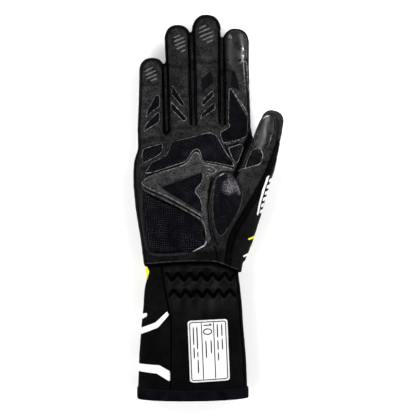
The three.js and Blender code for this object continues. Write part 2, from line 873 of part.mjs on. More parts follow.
const layerBase = handSolid(-seamGap);
const layers = new Map();
function layer(thickness) {
  if (!layers.has(thickness)) {
    layers.set(thickness, handSolid(-seamGap - thickness).subtract(layerBase));
  }
  return layers.get(thickness);
}
const abovePalmSeam = aboveHand(padEdge * 2);
const padBed = palmPrism(seamInset + padEdge)
  .intersect(abovePalmSeam)
  .add(prism(thumbOutline(-padEdge)).intersect(aboveThumb(padEdge * 2)));

const layered = (outline, thickness) => panel(layer(thickness).intersect(prism(outline)).intersect(padBed));
const padSolid = ({ outline, raised }) =>
  layered(outline.map(onPalm), raised ? thenarPadThickness : padThickness);

// The smooth leather on the thumb's tip and over the index fingertip
const thumbTipPatch = layered(
  thumbPatch.map(([across, along]) => {
    const point = thumbPoint(along).addScaledVector(thumbFrame(along).side, across * thumbTipWidth);
    return [point.x, point.y];
  }),
  capThickness,
);
const index = fingers.length - 1;
const indexTipCap = panel(
  layer(capThickness)
    .intersect(
      prism(
        tipCap.map(([across, along]) => [
          fingerLines[index].tipX + across * fingers[index].rootWidth,
          palmLength + along * fingers[index].length,
        ]),
      ),
    )
    .intersect(prism(fingerStrip(index, seamInset + padEdge)))
    .intersect(abovePalmSeam),
);

// The cuff, its binding and its label

const cuffEnd = cuffLength - seamGap - hemThickness;
const cuffSkin = cuffSolid(0, -cuffTuck, cuffEnd).subtract(
  cuffSolid(cuffWall, -cuffTuck - cutMargin, cuffEnd + cutMargin),
);

function cuffFrontRegion(grow) {
  const left = cuffSeam.map((row) => [row.across * palmWidth - grow, -row.along * cuffLength]);
  const right = cuffSeam.map((row) => {
    const down = row.along * cuffLength;
    return [cuffHalf('right', Math.min(down, cuffLength)) - cuffSideInset + grow, -down];
  });
  return prism([...left, ...right.reverse()], palmDepth * cuffSideSeam - grow);
}
const cuffFront = panel(cuffSkin.intersect(cuffFrontRegion(0)));
const cuffBack = panel(cuffSkin.subtract(cuffFrontRegion(seamGap)));

const hemStart = cuffEnd - hemHeight;
const hemOutside = cuffSolid(-seamGap - hemThickness, hemStart, cuffLength);
const hemInside = cuffSolid(
  cuffWall + seamGap + hemThickness,
  hemStart - cutMargin,
  cuffLength + cutMargin,
);
const hemSlot = cuffSolid(-seamGap, hemStart - cutMargin, cuffEnd + seamGap).subtract(
  cuffSolid(cuffWall + seamGap, hemStart - 2 * cutMargin, cuffEnd + cutMargin),
);
const hemBand = panel(hemOutside.subtract(hemInside).subtract(hemSlot));

function labelOutline() {
  const [halfWidth, halfHeight] = [labelWidth / 2 - labelCorner, labelHeight / 2 - labelCorner];
  const centre = new THREE.Vector2(labelCentre.across * palmWidth, -labelCentre.along * cuffLength);
  const corners = [
    [1, 1],
    [-1, 1],
    [-1, -1],
    [1, -1],
  ];
  return corners.flatMap(([sx, sy], quarter) =>
    [0, 90].map((turn) => {
      const angle = THREE.MathUtils.degToRad(quarter * 90 + turn);
      const point = new THREE.Vector2(
        sx * halfWidth + labelCorner * Math.cos(angle),
        sy * halfHeight + labelCorner * Math.sin(angle),
      );
      point.rotateAround(new THREE.Vector2(), THREE.MathUtils.degToRad(labelTilt)).add(centre);
      return [point.x, point.y];
    }),
  );
}
const labelFrom = labelCentre.along * cuffLength - labelHeight * labelReach;
const labelTo = labelCentre.along * cuffLength + labelHeight * labelReach;
const cuffLabel = panel(
  cuffSolid(-seamGap - labelThickness, labelFrom, labelTo)
    .subtract(cuffSolid(-seamGap, labelFrom - cutMargin, labelTo + cutMargin))
    .intersect(prism(labelOutline(), palmDepth * cuffSideSeam)),
);

// The glove, as a scene graph

const finishes = {
  suede: { color: 0x2b2b2c, roughness: 0.8 },
  knit: { color: 0x161617, roughness: 0.92 },
  stretch: { color: 0x0d0d12, roughness: 0.95 },
  mesh: { color: 0x101016, roughness: 0.85 },
  gloss: { color: 0x1c1c1d, roughness: 0.28 },
  cuff: { color: 0x121213, roughness: 0.9 },
  binding: { color: 0x17171d, roughness: 0.9 },
  label: { color: 0xf2f2f2, roughness: 0.6 },
};

const glove = new THREE.Group();
function addPiece(name, solid, finish) {
  const material = new THREE.MeshStandardMaterial({ ...finishes[finish], metalness: 0 });
  const mesh = new THREE.Mesh(geometryFromSolid(solid), material);
  mesh.name = name;
  glove.add(mesh);
}

addPiece('palm_panel', palmPanel, 'suede');
addPiece('back_panel', backPanel, 'knit');
gussets.forEach(({ name, solid }) => addPiece(name, solid, 'stretch'));
addPiece('thumb_front', thumbFront, 'suede');
addPiece('thumb_gusset', thumbGusset, 'stretch');
addPiece('thumb_back', thumbBack, 'knit');
pads.forEach((pad) => addPiece(pad.name, padSolid(pad), 'mesh'));
addPiece('thumb_tip_patch', thumbTipPatch, 'gloss');
addPiece('index_tip_cap', indexTipCap, 'gloss');
addPiece('cuff_front', cuffFront, 'cuff');
addPiece('cuff_back', cuffBack, 'cuff');
addPiece('hem_band', hemBand, 'binding');
addPiece('cuff_label', cuffLabel, 'label');

// The origin is the middle of the glove's footprint, on the table.
const bounds = new THREE.Box3().setFromObject(glove);
const middle = bounds.getCenter(new THREE.Vector3());
glove.children.forEach((mesh) => mesh.geometry.translate(-middle.x, -middle.y, -bounds.min.z));

export default glove;
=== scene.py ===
# %% [markdown]
# # A karting glove, palm up
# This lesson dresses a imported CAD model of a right-hand karting glove. The CAD solids give the size and the
# place of every panel, and each piece made here stands for one or more of them. All lengths below are in
# millimetres in the CAD's own frame: X runs to the thumb, Y to the fingertips and Z out of the palm.

# %% Start from the frame
import math

import bpy
import numpy as np
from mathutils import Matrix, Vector
from mathutils.bvhtree import BVHTree
from mathutils.kdtree import KDTree


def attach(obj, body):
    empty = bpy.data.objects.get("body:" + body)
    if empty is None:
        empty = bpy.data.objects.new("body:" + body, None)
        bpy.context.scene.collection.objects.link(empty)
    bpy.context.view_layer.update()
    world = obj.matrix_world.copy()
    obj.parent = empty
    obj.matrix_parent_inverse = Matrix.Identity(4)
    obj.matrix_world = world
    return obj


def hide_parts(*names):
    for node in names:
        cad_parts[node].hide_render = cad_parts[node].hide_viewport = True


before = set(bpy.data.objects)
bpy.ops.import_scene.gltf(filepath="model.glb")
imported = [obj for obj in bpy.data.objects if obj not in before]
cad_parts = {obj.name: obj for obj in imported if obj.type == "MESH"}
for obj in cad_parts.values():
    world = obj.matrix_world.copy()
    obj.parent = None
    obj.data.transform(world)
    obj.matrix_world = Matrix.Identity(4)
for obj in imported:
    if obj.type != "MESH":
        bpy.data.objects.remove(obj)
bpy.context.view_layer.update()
MM = 0.001

# %% [markdown]
# ## A drawing scale
# The glove is seen from straight above, so its seams and pads are drawn in plan. Points of the drawing are
# counted in units of 0.81 mm, with x to the right and y down from the top left corner of the sheet.
# `spot` turns one of them into millimetres, and `soft` rounds the corners of a drawn line and spaces its
# points evenly, as a cutter's hand does with a leather pattern.

# %% Plan drawing helpers
UNIT = 0.81
SHEET_MIDDLE = (206.9, 208.25)


def spot(x, y):
    return ((x - SHEET_MIDDLE[0]) * UNIT, (SHEET_MIDDLE[1] - y) * UNIT)


def drawn(*pairs):
    return np.array([spot(x, y) for x, y in pairs])


def evenly(path, step, closed):
    loop = np.vstack([path, path[:1]]) if closed else path
    along = np.concatenate([[0], np.cumsum(np.linalg.norm(np.diff(loop, axis=0), axis=1))])
    stops = np.linspace(0, along[-1], max(int(along[-1] / step), 3) + 1)
    stops = stops[:-1] if closed else stops
    return np.stack([np.interp(stops, along, loop[:, k]) for k in range(path.shape[1])], axis=1)


def soft(path, closed=False, step=0.8, radius=1.4):
    """A drawn line with its corners rounded over about a radius, as evenly spaced points."""
    path = evenly(np.asarray(path, float), 0.4, closed)
    for _ in range(int(3 * (radius / 0.4) ** 2 / 2) + 1):
        if closed:
            path = (np.roll(path, 1, axis=0) + path + np.roll(path, -1, axis=0)) / 3
        else:
            path[1:-1] = (path[:-2] + path[1:-1] + path[2:]) / 3
    return evenly(path, step, closed)

# %% [markdown]
# ## Distances on the drawing
# Every seam and pad is later cut along the line where a distance is zero, so the lesson needs three measures
# in plan: how far a point lies from a line, on which side of it, and how deep inside a closed outline.

# %% Distances in plan
def near_box(points, path, margin):
    """Which points lie in plan within a margin of the box round a path."""
    low, high = path.min(0) - margin, path.max(0) + margin
    return ((points[:, :2] > low) & (points[:, :2] < high)).all(1)


def path_distance(points, path):
    """Distance in plan from each point to a line, and its side: positive to the left as it is walked."""
    best = np.full(len(points), 1e9)
    side = np.ones(len(points))
    for a, b in zip(path[:-1], path[1:]):
        run = b - a
        share = np.clip(((points - a) @ run) / max(run @ run, 1e-9), 0, 1)
        off = points - a - share[:, None] * run
        gap = np.hypot(off[:, 0], off[:, 1])
        turn = run[0] * (points[:, 1] - a[1]) - run[1] * (points[:, 0] - a[0])
        nearer = gap < best - 1e-9
        best = np.where(nearer, gap, best)
        side = np.where(nearer, np.sign(turn), side)
    return best, side


def inside(points, outline):
    """1 inside a closed outline and -1 outside, counted by crossings."""
    crossings = np.zeros(len(points), int)
    x, y = points[:, 0], points[:, 1]
    for (ax, ay), (bx, by) in zip(outline, np.roll(outline, -1, axis=0)):
        if ay == by:
            continue
        spans = (y >= min(ay, by)) & (y < max(ay, by))
        crossings += spans & (x < ax + (y - ay) * (bx - ax) / (by - ay))
    return np.where(crossings % 2 == 1, 1.0, -1.0)


def depth_inside(points, outline, reach=6.0):
    """Distance in plan to an outline, positive inside. Points far outside it are only marked as far."""
    field = np.full(len(points), -reach)
    near = near_box(points, outline, reach)
    if near.any():
        plan = points[near][:, :2]
        gap, _ = path_distance(plan, np.vstack([outline, outline[:1]]))
        field[near] = gap * inside(plan, outline)
    return field

# %% [markdown]
# ## The hand that fills it
# A glove takes the form of the hand that it was blocked on: a flattened tube for the palm, four tubes for the
# fingers and one for the thumb. Each is lofted through rings, and the rings' sizes are read from small tables
# with their corners blurred, so that no ring shows. The fingers bend up a little off the table.

# %% Sizes of the hand
PALM_X, WRIST_Y = -10.65, -48.4
PALM_LENGTH, PALM_WIDTH, PALM_DEPTH = 113.0, 93.9, 34.0
END_SLANT = 0.15  # how far the palm's end falls back at the little finger, as a share of its length
FLAT_CUT = 1.6  # how far the palm and the cuff reach under the table, which then cuts them flat
PALM_SQUARE, FINGER_SQUARE, THUMB_SQUARE = 2.6, 2.25, 2.1  # 2 is an oval, more is squarer
ROOT_Y = WRIST_Y + PALM_LENGTH
FINGER_CURL, LONGEST = 9.0, 92.3
VOXEL = 0.9

# name: length, width at the root and at the tip, depth, lean of the tip, place of the root across
FINGERS = {
    "little": (58.0, 24.2, 20.6, 18.5, 0.03, -34.35),
    "ring": (84.2, 21.0, 22.6, 19.5, -0.112, -11.05),
    "middle": (92.3, 22.4, 24.6, 21.0, -0.065, 11.55),
    "index": (81.4, 23.0, 22.3, 20.0, -0.055, 35.15),
}
FINGER_FULL = ([-0.3, 0.1, 0.42, 0.66, 1.0], [0.97, 1.01, 0.98, 1.0, 1.0])

# along the palm from the wrist seam: widths to each side of its middle, depth, hollow and slant of its end
PALM_TABLE = np.array(
    [
        (-0.16, 0.426, 0.41, 0.89, 0, 0),
        (0.0, 0.426, 0.412, 0.89, 0, 0),
        (0.13, 0.449, 0.465, 0.96, 0.03, 0),
        (0.28, 0.473, 0.485, 1.0, 0.08, 0),
        (0.42, 0.5, 0.495, 1.0, 0.12, 0),
        (0.58, 0.521, 0.5, 0.97, 0.12, 0),
        (0.74, 0.526, 0.508, 0.9, 0.08, 0.3),
        (0.87, 0.521, 0.52, 0.77, 0.03, 0.7),
        (0.96, 0.51, 0.52, 0.65, 0, 1),
        (1.02, 0.482, 0.485, 0.42, 0, 1),
    ]
)
THUMB_LENGTH, THUMB_ROOT_WIDTH, THUMB_TIP_WIDTH, THUMB_TIP_DEPTH = 109.0, 37.0, 19.5, 16.8
THUMB_TABLE = np.array(
    [
        (-0.16, -0.05, -0.15, -0.01, 0.86),
        (0.0, 0, 0, 0, 0.99),
        (0.2, 0.076, 0.189, 0.012, 1.0),
        (0.42, 0.157, 0.39, 0.038, 0.96),
        (0.62, 0.228, 0.574, 0.07, 0.935),
        (0.77, 0.266, 0.724, 0.094, 0.93),
        (0.9, 0.308, 0.862, 0.104, 0.88),
    ]
)
THUMB_START = np.array([PALM_X + 30.2, WRIST_Y + 25.9, 19.04])
THUMB_ROOT_DEPTH = 0.94 * PALM_DEPTH
BODY_RINGS, TIP_RINGS = 44, 12


def flowing(at, table_x, table_y, blur=0.05):
    """A table read between its rows, with the corners blurred over a short stretch."""
    at = np.asarray(at, float)
    return np.mean([np.interp(at + d, table_x, table_y) for d in np.linspace(-blur, blur, 9)], axis=0)


def lift_at(y):
    return FINGER_CURL * np.clip((np.asarray(y) - ROOT_Y) / LONGEST, 0, 1) ** 1.5


def finger_middle(name, y):
    length, root, _, _, lean, x = FINGERS[name]
    return PALM_X + x + lean * root * np.clip((np.asarray(y) - ROOT_Y) / length, 0, 1)


def finger_half(name, y):
    length, root, tip, *_ = FINGERS[name]
    share = (np.asarray(y) - ROOT_Y) / length
    full = flowing(share, *FINGER_FULL)
    return (root + (tip - root) * np.clip(share, 0, 1)) / 2 * full - 0.3

# %% [markdown]
# ## Rings and the skins through them
# A ring is an oval that can be made squarer, with its own reach to each of its four sides, so one formula
# serves the flat palm and the round fingers. A loft joins rings of equal count with triangles. Where a tube
# would sink into the table, its points are held at the table, which makes the flat that the glove lies on.

# %% Rings and lofts
def ring(centre, side, up, left, right, above, below, squareness, count=56):
    """A closed loop about a centre, rounder or squarer, with its own reach to each side."""
    turn = np.linspace(0, 2 * math.pi, count, endpoint=False)
    power = 2 / squareness
    across = np.sign(np.cos(turn)) * np.abs(np.cos(turn)) ** power
    rise = np.sign(np.sin(turn)) * np.abs(np.sin(turn)) ** power
    across_mm = across * np.where(across > 0, right, left)
    rise_mm = rise * np.where(rise > 0, above, below)
    return centre + across_mm[:, None] * side + rise_mm[:, None] * up, across, rise


def loft(rings, closed=True):
    """Points and faces of a skin through rings, with a fan over each end when it is closed."""
    size = len(rings[0])
    points = np.vstack(rings)
    faces = []
    for r in range(len(rings) - 1):
        here = r * size + np.arange(size)
        nxt = r * size + (np.arange(size) + 1) % size
        faces.append(np.stack([here, nxt, nxt + size], axis=1))
        faces.append(np.stack([here, nxt + size, here + size], axis=1))
    if closed:
        start, end = len(points), len(points) + 1
        points = np.vstack([points, rings[0].mean(0), rings[-1].mean(0)])
        last = (len(rings) - 1) * size
        here, nxt = np.arange(size), (np.arange(size) + 1) % size
        faces.append(np.stack([np.full(size, start), nxt, here], axis=1))
        faces.append(np.stack([np.full(size, end), last + here, last + nxt], axis=1))
    return points, np.vstack(faces)


X_AXIS, Z_AXIS = np.array([1.0, 0, 0]), np.array([0, 0, 1.0])

# %% The palm's tube
def palm_loft():
    rings = []
    for along in np.linspace(-0.16, 1.02, 60):
        row = (flowing(along, PALM_TABLE[:, 0], PALM_TABLE[:, k]) for k in range(1, 6))
        left, right, depth, hollow, drop = row
        depth = depth * PALM_DEPTH
        points, across, rise = ring(
            np.array([PALM_X, WRIST_Y + along * PALM_LENGTH, depth / 2]), X_AXIS, Z_AXIS,
            left * PALM_WIDTH, right * PALM_WIDTH, depth / 2, depth / 2 + FLAT_CUT, PALM_SQUARE, 96,
        )
        points[:, 1] -= drop * END_SLANT * PALM_LENGTH * np.maximum(0, -across)
        dip = np.exp(-((across / 0.5) ** 2)) * np.maximum(rise, 0)
        points[:, 2] = np.maximum(points[:, 2] - hollow * PALM_DEPTH * dip, 0)
        rings.append(points)
    return loft(rings)

# %% A finger's tube, with a round tip
TIP_TURN = np.linspace(0.06, 0.985, TIP_RINGS) * math.pi / 2


def finger_loft(name):
    length, _, tip, depth, *_ = FINGERS[name]
    ball = tip / 2
    start = ROOT_Y + length - ball
    body = np.linspace(ROOT_Y - 0.3 * length, start, BODY_RINGS)
    stops = np.concatenate([body, start + ball * np.sin(TIP_TURN)])
    shrink = np.concatenate([np.ones(BODY_RINGS), np.cos(TIP_TURN) ** 0.8])
    rings = []
    for y, full in zip(stops, shrink):
        flat_y = min(y, start)
        share = np.clip((flat_y - ROOT_Y) / length, 0, 1)
        half_depth = depth / 2 * (1.04 - 0.14 * share) * flowing((flat_y - ROOT_Y) / length, *FINGER_FULL)
        half = finger_half(name, flat_y)
        points, _, _ = ring(
            np.array([finger_middle(name, flat_y), y, depth * 0.52 + lift_at(y)]), X_AXIS, Z_AXIS,
            half * full, half * full, half_depth * full, half_depth * full, FINGER_SQUARE,
        )
        points[:, 2] = np.maximum(points[:, 2], 0)
        rings.append(points)
    return loft(rings)

# %% The thumb's tube, which runs on a slant
def thumb_middle(along):
    across, up, rise = (flowing(along, THUMB_TABLE[:, 0], THUMB_TABLE[:, k]) for k in (1, 2, 3))
    return THUMB_START + np.array([across, up, rise]) * THUMB_LENGTH


def thumb_loft():
    rings = []
    stations = [(along, 1.0, 0.0) for along in np.linspace(-0.16, 0.9, 50)]
    stations += [(0.9, math.cos(t) ** 0.8, math.sin(t)) for t in TIP_TURN]
    for along, shrink, reach in stations:
        tangent = thumb_middle(along + 0.06) - thumb_middle(along - 0.06)
        tangent /= np.linalg.norm(tangent)
        side = np.cross(tangent, Z_AXIS)
        side /= np.linalg.norm(side)
        full = flowing(along, THUMB_TABLE[:, 0], THUMB_TABLE[:, 4])
        half = (THUMB_ROOT_WIDTH + (THUMB_TIP_WIDTH - THUMB_ROOT_WIDTH) * along) / 2 * full
        half_depth = (THUMB_ROOT_DEPTH + (THUMB_TIP_DEPTH - THUMB_ROOT_DEPTH) * along) / 2 * full
        centre = thumb_middle(along) + tangent * half * reach
        points, _, _ = ring(centre, side, np.cross(side, tangent), half * shrink, half * shrink,
                            half_depth * shrink, half_depth * shrink, THUMB_SQUARE)
        points[:, 2] = np.maximum(points[:, 2], 0)
        rings.append(points)
    return loft(rings)

# %% [markdown]
# ## One skin from six tubes
# The tubes run into one another at the knuckles and at the root of the thumb. A voxel remesh turns them into
# one even skin, and a short smoothing rounds the valleys as a stretched lining does. Reading the result back
# as arrays lets every later step cut and shape it with plain arithmetic.

# %% The hand's skin
def as_mesh(name, points, faces):
    mesh = bpy.data.meshes.new(name)
    mesh.from_pydata((np.asarray(points) * MM).tolist(), [], np.asarray(faces).tolist())
    mesh.update()
    return mesh


def joined(parts):
    """Several skins, each as points and faces, as one."""
    starts = np.cumsum([0] + [len(points) for points, _ in parts[:-1]])
    faces = [faces + start for (_, faces), start in zip(parts, starts)]
    return np.vstack([points for points, _ in parts]), np.vstack(faces)


def remeshed(parts, voxel, smoothing):
    """One closed skin round several overlapping tubes, as points and triangles."""
    tool = bpy.data.objects.new("skin_tool", as_mesh("skin_tool", *joined(parts)))
    bpy.context.scene.collection.objects.link(tool)
    cubes = tool.modifiers.new("voxels", "REMESH")
    cubes.mode, cubes.voxel_size = "VOXEL", voxel * MM
    smooth = tool.modifiers.new("smooth", "SMOOTH")
    smooth.factor, smooth.iterations = 0.5, smoothing
    triangles = tool.modifiers.new("triangles", "TRIANGULATE")
    triangles.quad_method = "SHORTEST_DIAGONAL"
    done = tool.evaluated_get(bpy.context.evaluated_depsgraph_get()).to_mesh()
    out = np.zeros(len(done.vertices) * 3)
    done.vertices.foreach_get("co", out)
    corners = np.zeros(len(done.loops), int)
    done.loops.foreach_get("vertex_index", corners)
    bpy.data.objects.remove(tool)
    return out.reshape(-1, 3) / MM, corners.reshape(-1, 3)


def vertex_normals(points, faces):
    a, b, c = (points[faces[:, k]] for k in range(3))
    flat = np.cross(b - a, c - a)
    normals = np.zeros_like(points)
    for k in range(3):
        np.add.at(normals, faces[:, k], flat)
    return normals / np.maximum(np.linalg.norm(normals, axis=1, keepdims=True), 1e-9)


tubes = [palm_loft(), thumb_loft()] + [finger_loft(name) for name in FINGERS]
hand_points, hand_faces = remeshed(tubes, VOXEL, 8)
volume = np.einsum("ij,ij->i", hand_points[hand_faces[:, 0]],
                   np.cross(hand_points[hand_faces[:, 1]], hand_points[hand_faces[:, 2]])).sum() / 6
if volume < 0:
    hand_faces = hand_faces[:, ::-1]
hand_points[:, 2] = np.maximum(hand_points[:, 2], 0.3)
print("hand skin:", len(hand_points), "points,", round(abs(volume) / 1000), "cm3")

# %% [markdown]
# ## Folds that a worn hand leaves
# Leather creases where the hand bends: across the finger joints, along the web of the thumb and in the palm.
# Each crease is a drawn line with a depth and a width, pushed in along the skin's normals. A slow ripple over
# everything keeps the cloth from looking like a casting. The pads are drawn first, because the leather also
# sinks a little along their edges.

# %% Outlines of the pads, as drawn
PADS = {
    "knuckle_pad": [(145.2, 173.6), (151.7, 163), (166.6, 155.6), (169.3, 150.3), (170.9, 143.9),
        (172.5, 141.7), (189, 138), (206, 133.2), (210.3, 132.7), (215.7, 134.8), (218.9, 140.1),
        (224.2, 150.3), (231.7, 161), (234.5, 166.8), (216.7, 163), (202.9, 161), (199.7, 150.3),
        (196.5, 148.7), (192.2, 151.3), (187.9, 158.8), (184.7, 162), (167.7, 167.6), (155, 171.8)],
    "side_pad": [(143.1, 148.7), (162.3, 143.3), (162.3, 151.3), (159.1, 155), (142.6, 163.6),
        (141.8, 154.5)],
    "heel_pad": [(143.6, 191.3), (176.2, 206.8), (199.7, 220.7), (203.9, 229.2), (206.6, 240.9),
        (203.9, 244.7), (193.3, 251.1), (184.7, 251.6), (151.7, 252.7), (146.3, 249.5), (144.4, 215.3)],
    "centre_pad": [(161.3, 187.6), (201.8, 172.7), (203.4, 175.9), (201.3, 183.3), (195.9, 188.7),
        (194.9, 192.9), (199.7, 197.2), (201.8, 204.7), (202.3, 213.2)],
    "index_pad": [(229.3, 87.9), (230.6, 87.9), (248.3, 117.7), (246.7, 135.9), (240.2, 139.1),
        (223.1, 143.3), (219.9, 132.7), (230.6, 126.3), (228.5, 123)],
    "web_pad": [(228.5, 148.1), (241, 144), (243.5, 146.5), (238.3, 161), (236, 164), (233, 160)],
    "thumb_mesh_pad": [(244.5, 168.4), (251.5, 150.5), (259.4, 148.6), (262.6, 155.6), (260.5, 163),
        (257.3, 165.2)],
}
THENAR = [(216.7, 176.9), (225.3, 172.7), (232.7, 175.9), (240.2, 186.5), (242.4, 195.1), (239.1, 208.9),
    (229.5, 226), (221, 236.7), (216.7, 232.4), (213.5, 220.7), (212.5, 204.7), (214.6, 183.3)]

print("pads drawn:", len(PADS) + 1)

# %% Creases and ripples
def ripple(points, wavelength, seed, waves=9):
    """A soft uneven surface between about -1 and 1, summed from fixed waves in many directions."""
    fixed = np.random.RandomState(seed)
    total = np.zeros(len(points))
    for _ in range(waves):
        way = fixed.normal(size=3)
        way /= np.linalg.norm(way)
        own_length = wavelength * fixed.uniform(0.7, 1.5)
        total += np.sin(points @ way * (2 * math.pi / own_length) + fixed.uniform(0, 6.28))
    return total / math.sqrt(waves * 1.5)


CREASES = [
    # the fold between the palm and the ball of the thumb, deepest at the web
    (drawn((251, 132), (248, 140), (245, 148), (241, 160), (238, 169), (234.5, 178)), 2.6, 1.7),
    (drawn((234.5, 178), (238, 182), (241, 190)), 0.7, 1.2),
    # palm lines
    (drawn((212, 178), (209, 192), (208, 206), (210, 224), (214, 240)), 0.8, 1.3),
    (drawn((144, 169), (158, 163), (172, 158), (186, 157)), 0.35, 2.2),
    (drawn((216, 150), (224, 160), (233, 166)), 0.4, 1.6),
    # root folds of the fingers
    (drawn((142, 141), (150, 139), (162, 138)), 0.45, 1.6),
    (drawn((169, 129), (180, 127), (190, 128)), 0.4, 1.6),
    (drawn((198, 127), (208, 126), (219, 128)), 0.4, 1.6),
    (drawn((226, 121), (236, 124), (247, 120)), 0.35, 1.6),
    # finger joints
    (drawn((141, 104), (150, 106), (160, 103)), 0.4, 1.4),
    (drawn((141, 84), (150, 86), (159, 83)), 0.3, 1.3),
    (drawn((168, 96), (178, 98), (189, 95)), 0.4, 1.5),
    (drawn((168, 66), (178, 68), (189, 66)), 0.35, 1.3),
    (drawn((197, 92), (207, 94), (218, 91)), 0.4, 1.5),
    (drawn((197, 62), (207, 64), (218, 61)), 0.35, 1.3),
    (drawn((226, 96), (236, 99), (246, 96)), 0.4, 1.5),
    (drawn((226, 70), (236, 72), (246, 69)), 0.3, 1.3),
    # thumb joint
    (drawn((251, 158), (259, 163), (270, 163)), 0.5, 1.5),
    (drawn((255, 146), (263, 150), (274, 149)), 0.3, 1.3),
]

# %% The hand with its folds
def skin_relief(points, normals):
    """How far each point of the hand moves out along its normal, and its fold value of painted shade and
    light.
    """
    up = np.clip(normals[:, 2] * 1.6, 0, 1)
    waves = 0.22 * ripple(points, 26, 3) + 0.1 * ripple(points, 9, 5)
    waves *= np.clip((points[:, 2] - 2) / 6, 0, 1)
    pressed = np.zeros(len(points))
    grooves = [(soft(path, step=2.0, radius=2.4), depth, width) for path, depth, width in CREASES]
    loops = [*PADS.values(), THENAR]
    grooves += [(soft(drawn(*loop, loop[0]), step=1.2, radius=1.2), 0.35, 0.9) for loop in loops]
    for path, depth, width in grooves:
        near = near_box(points, path, 3 * width) & (up > 0)
        gap, _ = path_distance(points[near][:, :2], path)
        swell = 0.35 * np.exp(-(((gap - 2.1 * width) / width) ** 2))
        pressed[near] -= depth * up[near] * (np.exp(-((gap / width) ** 2)) - swell)
    paler = np.where((points[:, 0] < spot(163, 0)[0]) & (points[:, 1] > spot(0, 140)[1]), 0.3, 0.0)
    between_roots = np.exp(-(((points[:, 1] - spot(0, 128)[1]) / 9) ** 2)) * (points[:, 0] < spot(222, 0)[0])
    # painted shade on the fingertips' ends, where they curve away from the light, and darker suede towards
    # the wrist
    shaded_tips_dark_wrist = np.clip((spot(0, 247)[1] - points[:, 1]) / 4, 0, 1) * (points[:, 0] < spot(224, 0)[0])
    for length, _, tip, _, lean, x in FINGERS.values():
        end = np.array([PALM_X + x + lean * 20, ROOT_Y + length - tip / 2])
        far = np.hypot(*(points[:, :2] - end).T) / (tip / 2)
        own = (points[:, 1] > end[1]) & (np.abs(points[:, 0] - end[0]) < tip * 0.62)
        shaded_tips_dark_wrist += np.clip((far - 0.6) / 0.4, 0, 1) * own
    # The fold value paints shade into the creases and the ripple's hollows and light onto their swells; it is
    # also lighter on the little finger's side and across the finger roots.
    return waves + pressed, waves * 0.8 + pressed * 1.2 + (paler + 0.15 * between_roots - 0.62 * shaded_tips_dark_wrist) * up


def formed(points, faces, relief, floor):
    """A skin with its relief: place, direction and fold, which is below 0 in a crease, where it paints shade.
    """
    normals = vertex_normals(points, faces)
    moved, folds = relief(points, normals)
    points = points + normals * moved[:, None]
    points[:, 2] = np.maximum(points[:, 2], floor)
    return np.hstack([points, vertex_normals(points, faces), np.clip(folds, -1, 1)[:, None]])


LOWEST_SKIN = 0.15
hand = formed(hand_points, hand_faces, skin_relief, LOWEST_SKIN)
print("fold values from", hand[:, 6].min().round(2), "to", hand[:, 6].max().round(2))

# %% [markdown]
# ## Cutting panels
# A seam is the zero line of a field, which is a number at every point of the skin: for most seams the
# distance in plan to a drawn line. `split` cuts the triangles exactly along that line, so the two sides share
# a clean edge whatever the grid below looks like.

# %% Cutting and finishing a skin
def split(skin, faces, field, snap=0.07):
    """The two sides of a skin along the zero line of a field, the positive side first."""
    field = np.where(np.abs(field) < snap, 0.0, field)
    sign = np.sign(field)
    corner = sign[faces]
    up, down = (corner > 0).any(1), (corner < 0).any(1)
    sides = {1: [faces[up & ~down]], -1: [faces[~up]]}
    points, made = [skin], {}
    count = len(skin)

    def between(a, b):
        nonlocal count
        key = (min(a, b), max(a, b))
        if key not in made:
            share = field[a] / (field[a] - field[b])
            points.append((skin[a] + (skin[b] - skin[a]) * share)[None])
            made[key] = count
            count += 1
        return made[key]

    extra = {1: [], -1: []}
    for a, b, c in faces[up & down]:
        while not (sign[a] != sign[b] and sign[a] != sign[c] and (sign[a] != 0 or sign[b] == -sign[c])):
            a, b, c = b, c, a
        if sign[a] == 0:
            middle = between(b, c)
            extra[sign[b]].append((a, b, middle))
            extra[sign[c]].append((a, middle, c))
        elif sign[b] == 0 or sign[c] == 0:
            other, kept = (b, c) if sign[b] == 0 else (c, b)
            middle = between(a, kept)
            if other == b:
                extra[sign[a]].append((a, b, middle))
                extra[sign[kept]].append((b, c, middle))
            else:
                extra[sign[a]].append((a, middle, c))
                extra[sign[kept]].append((middle, b, c))
        else:
            near_b, near_c = between(a, b), between(a, c)
            extra[sign[a]].append((a, near_b, near_c))
            extra[-sign[a]] += [(near_b, b, c), (near_b, c, near_c)]
    everything = np.vstack(points)
    out = []
    for key in (1, -1):
        kept = np.vstack(sides[key] + ([np.array(extra[key])] if extra[key] else []))
        used, packed = np.unique(kept, return_inverse=True)
        out.append((everything[used], packed.reshape(-1, 3)))
    return out

# %% [markdown]
# ## Edges that roll in
# Leather is turned under where it is sewn, so a panel is lower along its edge than in its middle. The
# distance of each point from the open edge of its panel says how far to lift it. The same distance swells a
# pad, and through a fold value that the finishes read it paints shade along an edge that rolls in and light
# along a pad's rim.

# %% Rims, swelling and pieces
def rim_points(faces):
    """The indices of the points on the open edges of a skin."""
    edges = np.sort(np.vstack([faces[:, [0, 1]], faces[:, [1, 2]], faces[:, [2, 0]]]), axis=1)
    found, counts = np.unique(edges, axis=0, return_counts=True)
    return np.unique(found[counts == 1])


def rim_distance(skin, faces):
    """How far each point of a skin lies from its open edges."""
    rim = rim_points(faces)
    tree = KDTree(len(rim))
    for k, index in enumerate(rim):
        tree.insert(skin[index, :3], k)
    tree.balance()
    return np.array([tree.find(p)[2] for p in skin[:, :3]])


def swollen(skin, faces, rim_height, height, width):
    """Points moved along their normals: rim_height at the open edges, rising to height over a width."""
    share = np.clip(rim_distance(skin, faces) / width, 0, 1)
    rise = rim_height + (height - rim_height) * (1 - (1 - share) ** 2)
    # painted shade along an edge that rolls in, painted light along the rim of a pad that stands up
    folds = skin[:, 6] + np.where(rim_height < 0, -1.0, 0.35) * (1 - share) ** 2
    return np.hstack([skin[:, :3] + skin[:, 3:6] * rise[:, None], folds[:, None]])


